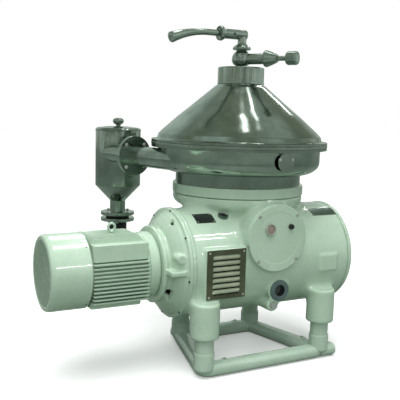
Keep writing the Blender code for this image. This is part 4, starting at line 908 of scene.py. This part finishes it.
addPiece("sludge_pipe", [nearPipe], polishedStainless, "sludge_catcher", weighted=False)
addPiece("sludge_pipe_flange", [placed(tube(sludge["inner"], sludge["flange"], sludge["joint"] - 0.0100,
    sludge["joint"] - 0.0005, 0.0018, 96), *onSludge)], turnedStainless, "sludge_catcher")
flangeBolts = [around(hexBolt(0.0095, 0.0065), 4, 0.078, sludgeStart, sludgeWay * side, 0.5,
    side * sludge["joint"] + 0.0098) for side in (-1, 1)]
addPiece("sludge_flange_bolts", flangeBolts, boltSteel, "sludge_catcher")
turnedPiece("rim_clamp_ring", "rim_ring", turnedStainless, 192,
    [(0.400, 1.0168), (0.4295, 1.0168), (0.4315, 1.0185), (0.4315, 1.0280), (0.4295, 1.0297),
    (0.400, 1.0297)], 0.001)
turnedPiece("port_swing_plate", "port_flap", turnedStainless, 64,
    [(0, 0.4043), (0.0420, 0.4043), (0.0420, 0.4072), (0, 0.4072)], 0.001, portPlace, front, body="flap")
addPiece("port_cap_nuts", [placed(domeBolt(0.0082, 0.0078), (x, -0.4072, 0.975), front) for x in (0.036,
    -0.030)], boltSteel, "port_flap", body="flap")
print("catcher made")

# cyclone

cyclonePlace = (cycloneX, cycloneY, 0)
wall = rounded([(0.117, 1.0655), (0.120, 1.0655), (0.120, 0.7730), (0.0410, 0.6890), (0.0410, 0.6290),
    (0.0900, 0.6290), (0.0900, 0.6125), (0.038, 0.6125), (0.038, 0.690), (0.117, 0.7745)], 0.0022)
stubBore = placed(rodShape(0.0464, 0.30, 0.62), *onSludge)
cycloneShell = cutShape(placed(turned(wall, 112), cyclonePlace), stubBore)
addPiece("cyclone_shell", [cycloneShell], polishedStainless, "cyclone_body", weighted=False)
cycloneRoom = placed(rodShape(0.1185, 0.70, 1.10, 96), cyclonePlace)
farPipe = cutShape(placed(tube(sludge["inner"], sludge["outer"], sludge["joint"] + 0.0005, 0.620),
    *onSludge), cycloneRoom)
addPiece("cyclone_inlet_stub", [farPipe], polishedStainless, "cyclone_body", weighted=False)
addPiece("cyclone_inlet_flange", [placed(tube(sludge["inner"], sludge["flange"], sludge["joint"] + 0.0005,
    sludge["joint"] + 0.0100, 0.0018, 96), *onSludge)], turnedStainless, "cyclone_body")
turnedPiece("drain_gasket_ring", "drain_gasket", blackRubber, 64,
    [(0.038, 0.5973), (0.062, 0.5973), (0.062, 0.6122), (0.038, 0.6122)], 0.002, cyclonePlace)
turnedPiece("drain_flange_ring", "drain_flange", turnedStainless, 96,
    [(0.038, 0.5970), (0.090, 0.5970), (0.090, 0.5800), (0.044, 0.5800), (0.044, 0.5400), (0.038, 0.5400)],
    0.0018, cyclonePlace)
drainBolts = [around(hexBolt(0.0085, 0.0060), 4, 0.074, cyclonePlace, up, 0.25, 0.6292),
    around(hexBolt(0.0085, 0.0060), 4, 0.074, cyclonePlace, (0, 0, -1), 0.25, -0.5798)]
addPiece("drain_flange_bolts", drainBolts, boltSteel, "drain_flange")
bands = []
for low in np.arange(0.4620, 0.5700, 0.0250):
    bands += [(0.0500, low + 0.003), (0.0500, low + 0.022), (0.0490, low + 0.0235), (0.0490, low + 0.0245)]
turnedPiece("drain_sleeve_hose", "drain_sleeve", blackRubber, 64,
    [(0.0443, 0.4600), (0.0485, 0.4600)] + [p for p in bands if p[1] < 0.578] + [(0.0495, 0.5795),
    (0.0443, 0.5795)], place=cyclonePlace)
turnedPiece("cyclone_lid_dome", "cyclone_lid", polishedStainless, 112,
    [(0, 1.0663), (0.1222, 1.0663), (0.1222, 1.0700), (0.1120, 1.0800), (0.060, 1.0868), (0.012, 1.0885),
    (0.012, 1.0950), (0.022, 1.1000), (0.031, 1.1130), (0.026, 1.1260), (0.012, 1.1320), (0, 1.1320)],
    0.006, cyclonePlace, steps=5, body="lid")
print("cyclone made")

# hood and what stands on it

hoodOut = flowing([(0.398, 1.066), (0.372, 1.0915), (0.340, 1.1200), (0.295, 1.1600), (0.246, 1.2000),
    (0.185, 1.2510), (0.1235, 1.3030)], 6)
hoodIn = (hoodOut - (0.004, 0.003))[::-1]
hood = ([(0.4010, 1.0300), (0.4292, 1.0300), (0.4305, 1.0315), (0.4305, 1.0405), (0.4290, 1.0420),
    (0.4150, 1.0420), (0.4080, 1.0440), (0.4020, 1.0500)] + hoodOut.tolist() + [(0.1170, 1.3065),
    (0.1135, 1.3110), (0.1095, 1.3110), (0.1130, 1.3050)] + hoodIn.tolist() + [(0.394, 1.0600),
    (0.394, 1.0300)])
addPiece("hood_cone_sheet", [turned(hood, 192)], polishedStainless, "hood_cone", body="hood",
    weighted=False)
turnedPiece("hood_cap_drum", "hood_cap", polishedStainless, 128,
    [(0.1095, 1.3118), (0.1135, 1.3118), (0.1135, 1.3220), (0.1128, 1.3240), (0.1128, 1.3890),
    (0.1090, 1.3930), (0.0085, 1.3930), (0.0085, 1.3850), (0.1095, 1.3850)], 0.0022, body="hood")
onion = np.concatenate([[(0.0085, 1.3933), (0.0215, 1.3933), (0.0240, 1.3975)],
    flowing([(0.0260, 1.4005), (0.0385, 1.4085), (0.0458, 1.4220), (0.0465, 1.4340), (0.0445, 1.4480),
    (0.0370, 1.4605), (0.0270, 1.4700)], 6), [(0.0240, 1.4740), (0.0240, 1.4767), (0.0085, 1.4767)]])
addPiece("valve_onion_body", [turned(onion, 64)], turnedStainless, "valve_ball_body",
    body="hood")
turnedPiece("union_nut_ring", "union_nut", turnedStainless, 64,
    [(0.0085, 1.4770), (0.0400, 1.4770), (0.0440, 1.4800), (0.0440, 1.4870), (0.0340, 1.4970),
    (0.0275, 1.5000), (0.0275, 1.5030), (0.0085, 1.5030)], 0.0015, body="hood")

elbowZ = 1.548
post = turned(rounded([(0, 1.5033), (0.0215, 1.5033), (0.0215, 1.5640), (0.0165, 1.5690), (0, 1.5690)],
    0.003, False), 48)
arm = turned(rounded([(0, -0.0200), (0.0234, -0.0200), (0.0234, 0.1040), (0.0190, 0.1050), (0, 0.1050)],
    0.003, False), 48)
cup = rounded([(0.0160, 0.1000), (0.0260, 0.1000), (0.0348, 0.1150), (0.0348, 0.1230), (0.0325, 0.1300),
    (0.0290, 0.1230), (0.0160, 0.1180)], 0.0012)
armHole = placed(rodShape(0.0070, 0.005, 0.060, 24), (-0.055, 0, elbowZ), front)
armCut = cutShape(placed(arm, (0, 0, elbowZ), left), armHole)
addPiece("valve_elbow_body", [post, armCut, placed(turned(cup, 64), (0, 0, elbowZ), left)], turnedStainless,
    "valve_elbow", body="hood", weighted=False)
share = np.linspace(0, 1, 17)
bar = np.stack([-0.190 - 0.185 * share, 0 * share, elbowZ - 0.036 * share ** 2], 1)
leverRoute = np.concatenate([[(x, 0, elbowZ) for x in (-0.1062, -0.1075, -0.150)], bar,
    [(-0.3800, 0, 1.5098), (-0.3835, 0, 1.5085), (-0.3858, 0, 1.5077), (-0.3870, 0, 1.5072)]])
leverRadii = np.concatenate([[0.0130, 0.0147, 0.0147], 0.0147 + 0.0105 * share ** 2,
    [0.0246, 0.0220, 0.0170, 0.0090]])
addPiece("valve_lever_bar", [sweep(leverRoute, leverRadii, 40)], turnedStainless, "valve_lever",
    body="lever")

branchWay = np.array((0.5, -0.866, 0))
branchPlace = (0, 0, 1.433)
blockOutline = rounded([(0, 0.020), (0.0257, 0.020), (0.0257, 0.1280), (0, 0.1280)], 0.002, False)
block = placed(turned(blockOutline, 48), branchPlace, branchWay)
block = cutShape(block, rodShape(0.0468, 1.38, 1.49, 48))
addPiece("branch_pipe", [block], turnedStainless, "branch_block", body="hood", weighted=False)
turnedPiece("branch_cone_nut", "branch_nut", turnedStainless, 64,
    [(0, 0.1283), (0.0340, 0.1283), (0.0395, 0.1330), (0.0395, 0.1400), (0.0300, 0.1660), (0.0180, 0.1950),
    (0, 0.1950)], 0.0020, branchPlace, branchWay, body="hood")
turnedPiece("regulating_knob_head", "regulating_knob", turnedStainless, 64,
    [(0, 0.1953), (0.0115, 0.1953), (0.0115, 0.2420), (0.0285, 0.2440), (0.0320, 0.2500), (0.0320, 0.2885),
    (0.0300, 0.2945), (0.0250, 0.2955), (0.0245, 0.2935), (0.0215, 0.2935), (0.0210, 0.2955), (0, 0.2955)],
    0.0012, branchPlace, branchWay, body="knob")
print("hood made")

# floor, light and camera


def aimed(obj, place, target):
    # the object's -Z points at the target and its Y stays upright
    obj.location = (np.array(place) + origin).tolist()
    ahead = (np.array(target) - np.array(place)).astype(float)
    ahead /= np.linalg.norm(ahead)
    side = np.cross(ahead, up)
    side /= np.linalg.norm(side)
    obj.rotation_mode = "QUATERNION"
    turnedAxes = Matrix(np.stack([side, np.cross(side, ahead), -ahead], 1).tolist())
    obj.rotation_quaternion = turnedAxes.to_quaternion()


floorData = bpy.data.meshes.new("floor")
floorData.from_pydata([(-30, -30, 0), (30, -30, 0), (30, 30, 0), (-30, 30, 0)], [], [(0, 1, 2, 3)])
# the camera sees the floor pale and slightly lit, while the object only gets a dull bounce from it
floorLook = {"Base Color": linear("#FBFCFB"), "Roughness": 0.95, "Emission Color": linear("#FFFFFF"),
    "Emission Strength": 0.28}
floorMaterial, tree, shader = newMaterial("pale matt floor", floorLook)
dull = addNode(tree, "BsdfDiffuse", {"Color": linear("#8E998F")})
path = addNode(tree, "LightPath")
surfaces = {0: path.outputs["Is Camera Ray"], 1: dull.outputs[0], 2: shader.outputs[0]}
both = addNode(tree, "MixShader", None, surfaces)
tree.links.new(both.outputs[0], tree.nodes["Material Output"].inputs["Surface"])
floorData.materials.append(floorMaterial)
newObject("floor", floorData)

# name: place, target, width, height, glow, whether polished metal shows it
studio = {"soft_top": ((-0.4, -0.1, 3.6), (0, 0, 0.7), 2.6, 2.6, 2.0, False),
    "soft_front": ((-1.9, -3.6, 2.2), (0, 0, 0.8), 2.2, 1.8, 2.9, False),
    "soft_rear": ((1.0, 3.2, 2.4), (0, 0, 0.7), 2.0, 1.5, 1.5, False),
    "lamp_high": ((0.76, -1.10, 2.4), (0.76, -1.10, 0), 0.36, 0.10, 26, True),
    "lamp_low": ((0.80, -1.47, 2.4), (0.80, -1.47, 0), 0.30, 0.12, 30, True),
    "lamp_motor": ((-0.40, -0.20, 2.4), (-0.40, -0.20, 0), 0.34, 0.24, 24, True),
    "lamp_behind": ((-0.20, 1.50, 2.4), (-0.9, 0, 0.6), 0.50, 0.40, 16, True),
    "lamp_cone": ((0.12, -0.12, 3.4), (0.12, -0.12, 0), 0.16, 0.40, 5, True),
    "lamp_far": ((0.16, 0.75, 3.4), (0.16, 0.75, 0), 0.20, 0.55, 6, True),
    "lamp_strip": ((0.62, 0.35, 3.4), (0.62, 0.35, 0), 0.08, 1.20, 7, True),
    "lamp_side": ((2.1, 1.2, 3.0), (0, 0, 1.2), 0.12, 1.3, 8, True),
    "lamp_line": ((0.14, -3.6, 2.10), (-0.9, -0.2, 0.5), 0.90, 0.07, 40, True)}
# these lamps only reach the painted pieces, whose gloss shows them as soft bars
forPaint = ("lamp_high", "lamp_low", "lamp_motor", "lamp_behind", "lamp_line")
painted = bpy.data.collections.new("painted")
for item in bpy.context.scene.objects:
    if item.type == "MESH" and "enamel" in " ".join(slot.name for slot in item.material_slots):
        painted.objects.link(item)
for name, (place, target, wide, tall, glow, mirrored) in studio.items():
    lamp = bpy.data.lights.new(name, "AREA")
    lamp.shape, lamp.size, lamp.size_y, lamp.energy = "RECTANGLE", wide, tall, glow * math.pi * wide * tall
    item = newObject(name, lamp)
    aimed(item, place, np.array(target) + (0, 0.001, 0))
    item.visible_glossy = mirrored
    if name in forPaint:
        item.light_linking.receiver_collection = painted
sun = bpy.data.lights.new("window_light", "SUN")
sun.energy, sun.angle = 1.9, math.radians(45)
item = newObject("window_light", sun)
aimed(item, (-0.75, -0.80, 3.2), (0, 0, 0.5))
item.visible_glossy = False

# the camera sees a white room, matt surfaces a pale one, polished metal a dark one with clutter low down
world = bpy.data.worlds.new("studio")
bpy.context.scene.world = world
world.use_nodes = True
tree = world.node_tree
way = addNode(tree, "TexCoord").outputs["Generated"]
height = addNode(tree, "SeparateXYZ", None, {0: way}).outputs["Z"]
patches = addNode(tree, "TexNoise", {"Scale": 1.6, "Detail": 2.0}, {"Vector": way}).outputs["Fac"]
clutter = addNode(tree, "TexNoise", {"Scale": 14.0, "Detail": 4.0}, {"Vector": way}).outputs["Fac"]
share = addNode(tree, "MapRange", {1: 0.38, 2: 0.62, 3: 0, 4: 1}, {0: patches}).outputs[0]
dim = addNode(tree, "Mix", {"data_type": "RGBA", 6: linear("#838D7C"), 7: linear("#C4D1C9")},
    {0: share}).outputs[2]
low = addNode(tree, "MapRange", {1: 0.02, 2: 0.30, 3: 1, 4: 0}, {0: height}).outputs[0]
spots = addNode(tree, "MapRange", {1: 0.54, 2: 0.60, 3: 0, 4: 1}, {0: clutter}).outputs[0]
share = addNode(tree, "Math", {"operation": "MULTIPLY"}, {0: spots, 1: low}).outputs[0]
lit = addNode(tree, "Mix", {"data_type": "RGBA", 7: linear("#F4F7F0")}, {0: share, 6: dim}).outputs[2]
seen = addNode(tree, "Background", {"Color": linear("#FFFFFF"), "Strength": 1.0}).outputs[0]
room = addNode(tree, "Background", {"Color": linear("#D6DEDA"), "Strength": 0.38}).outputs[0]
mirror = addNode(tree, "Background", {"Strength": 1.0}, {"Color": lit}).outputs[0]
path = addNode(tree, "LightPath").outputs
first = addNode(tree, "MixShader", None, {0: path["Is Glossy Ray"], 1: room, 2: mirror}).outputs[0]
both = addNode(tree, "MixShader", None, {0: path["Is Camera Ray"], 1: first, 2: seen}).outputs[0]
tree.links.new(both, tree.nodes["World Output"].inputs["Surface"])

cameraSet = {"place": (-1.6775, -2.7896, 1.1715), "yaw": 27.79, "pitch": -7.606, "roll": 1.508,
    "lens": 58.97}
yaw, pitch, roll = (math.radians(cameraSet[key]) for key in ("yaw", "pitch", "roll"))
ahead = np.array((math.sin(yaw) * math.cos(pitch), math.cos(yaw) * math.cos(pitch), math.sin(pitch)))
level = np.array((math.cos(yaw), -math.sin(yaw), 0))
rise = np.cross(level, ahead)
side = level * math.cos(roll) + rise * math.sin(roll)
rise = rise * math.cos(roll) - level * math.sin(roll)
cameraData = bpy.data.cameras.new("camera")
cameraData.sensor_width, cameraData.lens = 36.0, cameraSet["lens"]
camera = newObject("camera", cameraData)
camera.rotation_mode = "QUATERNION"
camera.location = (np.array(cameraSet["place"]) + origin).tolist()
camera.rotation_quaternion = Matrix(np.stack([side, rise, -ahead], 1).tolist()).to_quaternion()
bpy.context.scene.camera = camera
bpy.context.scene.view_settings.view_transform = "Standard"

print("scene ready")
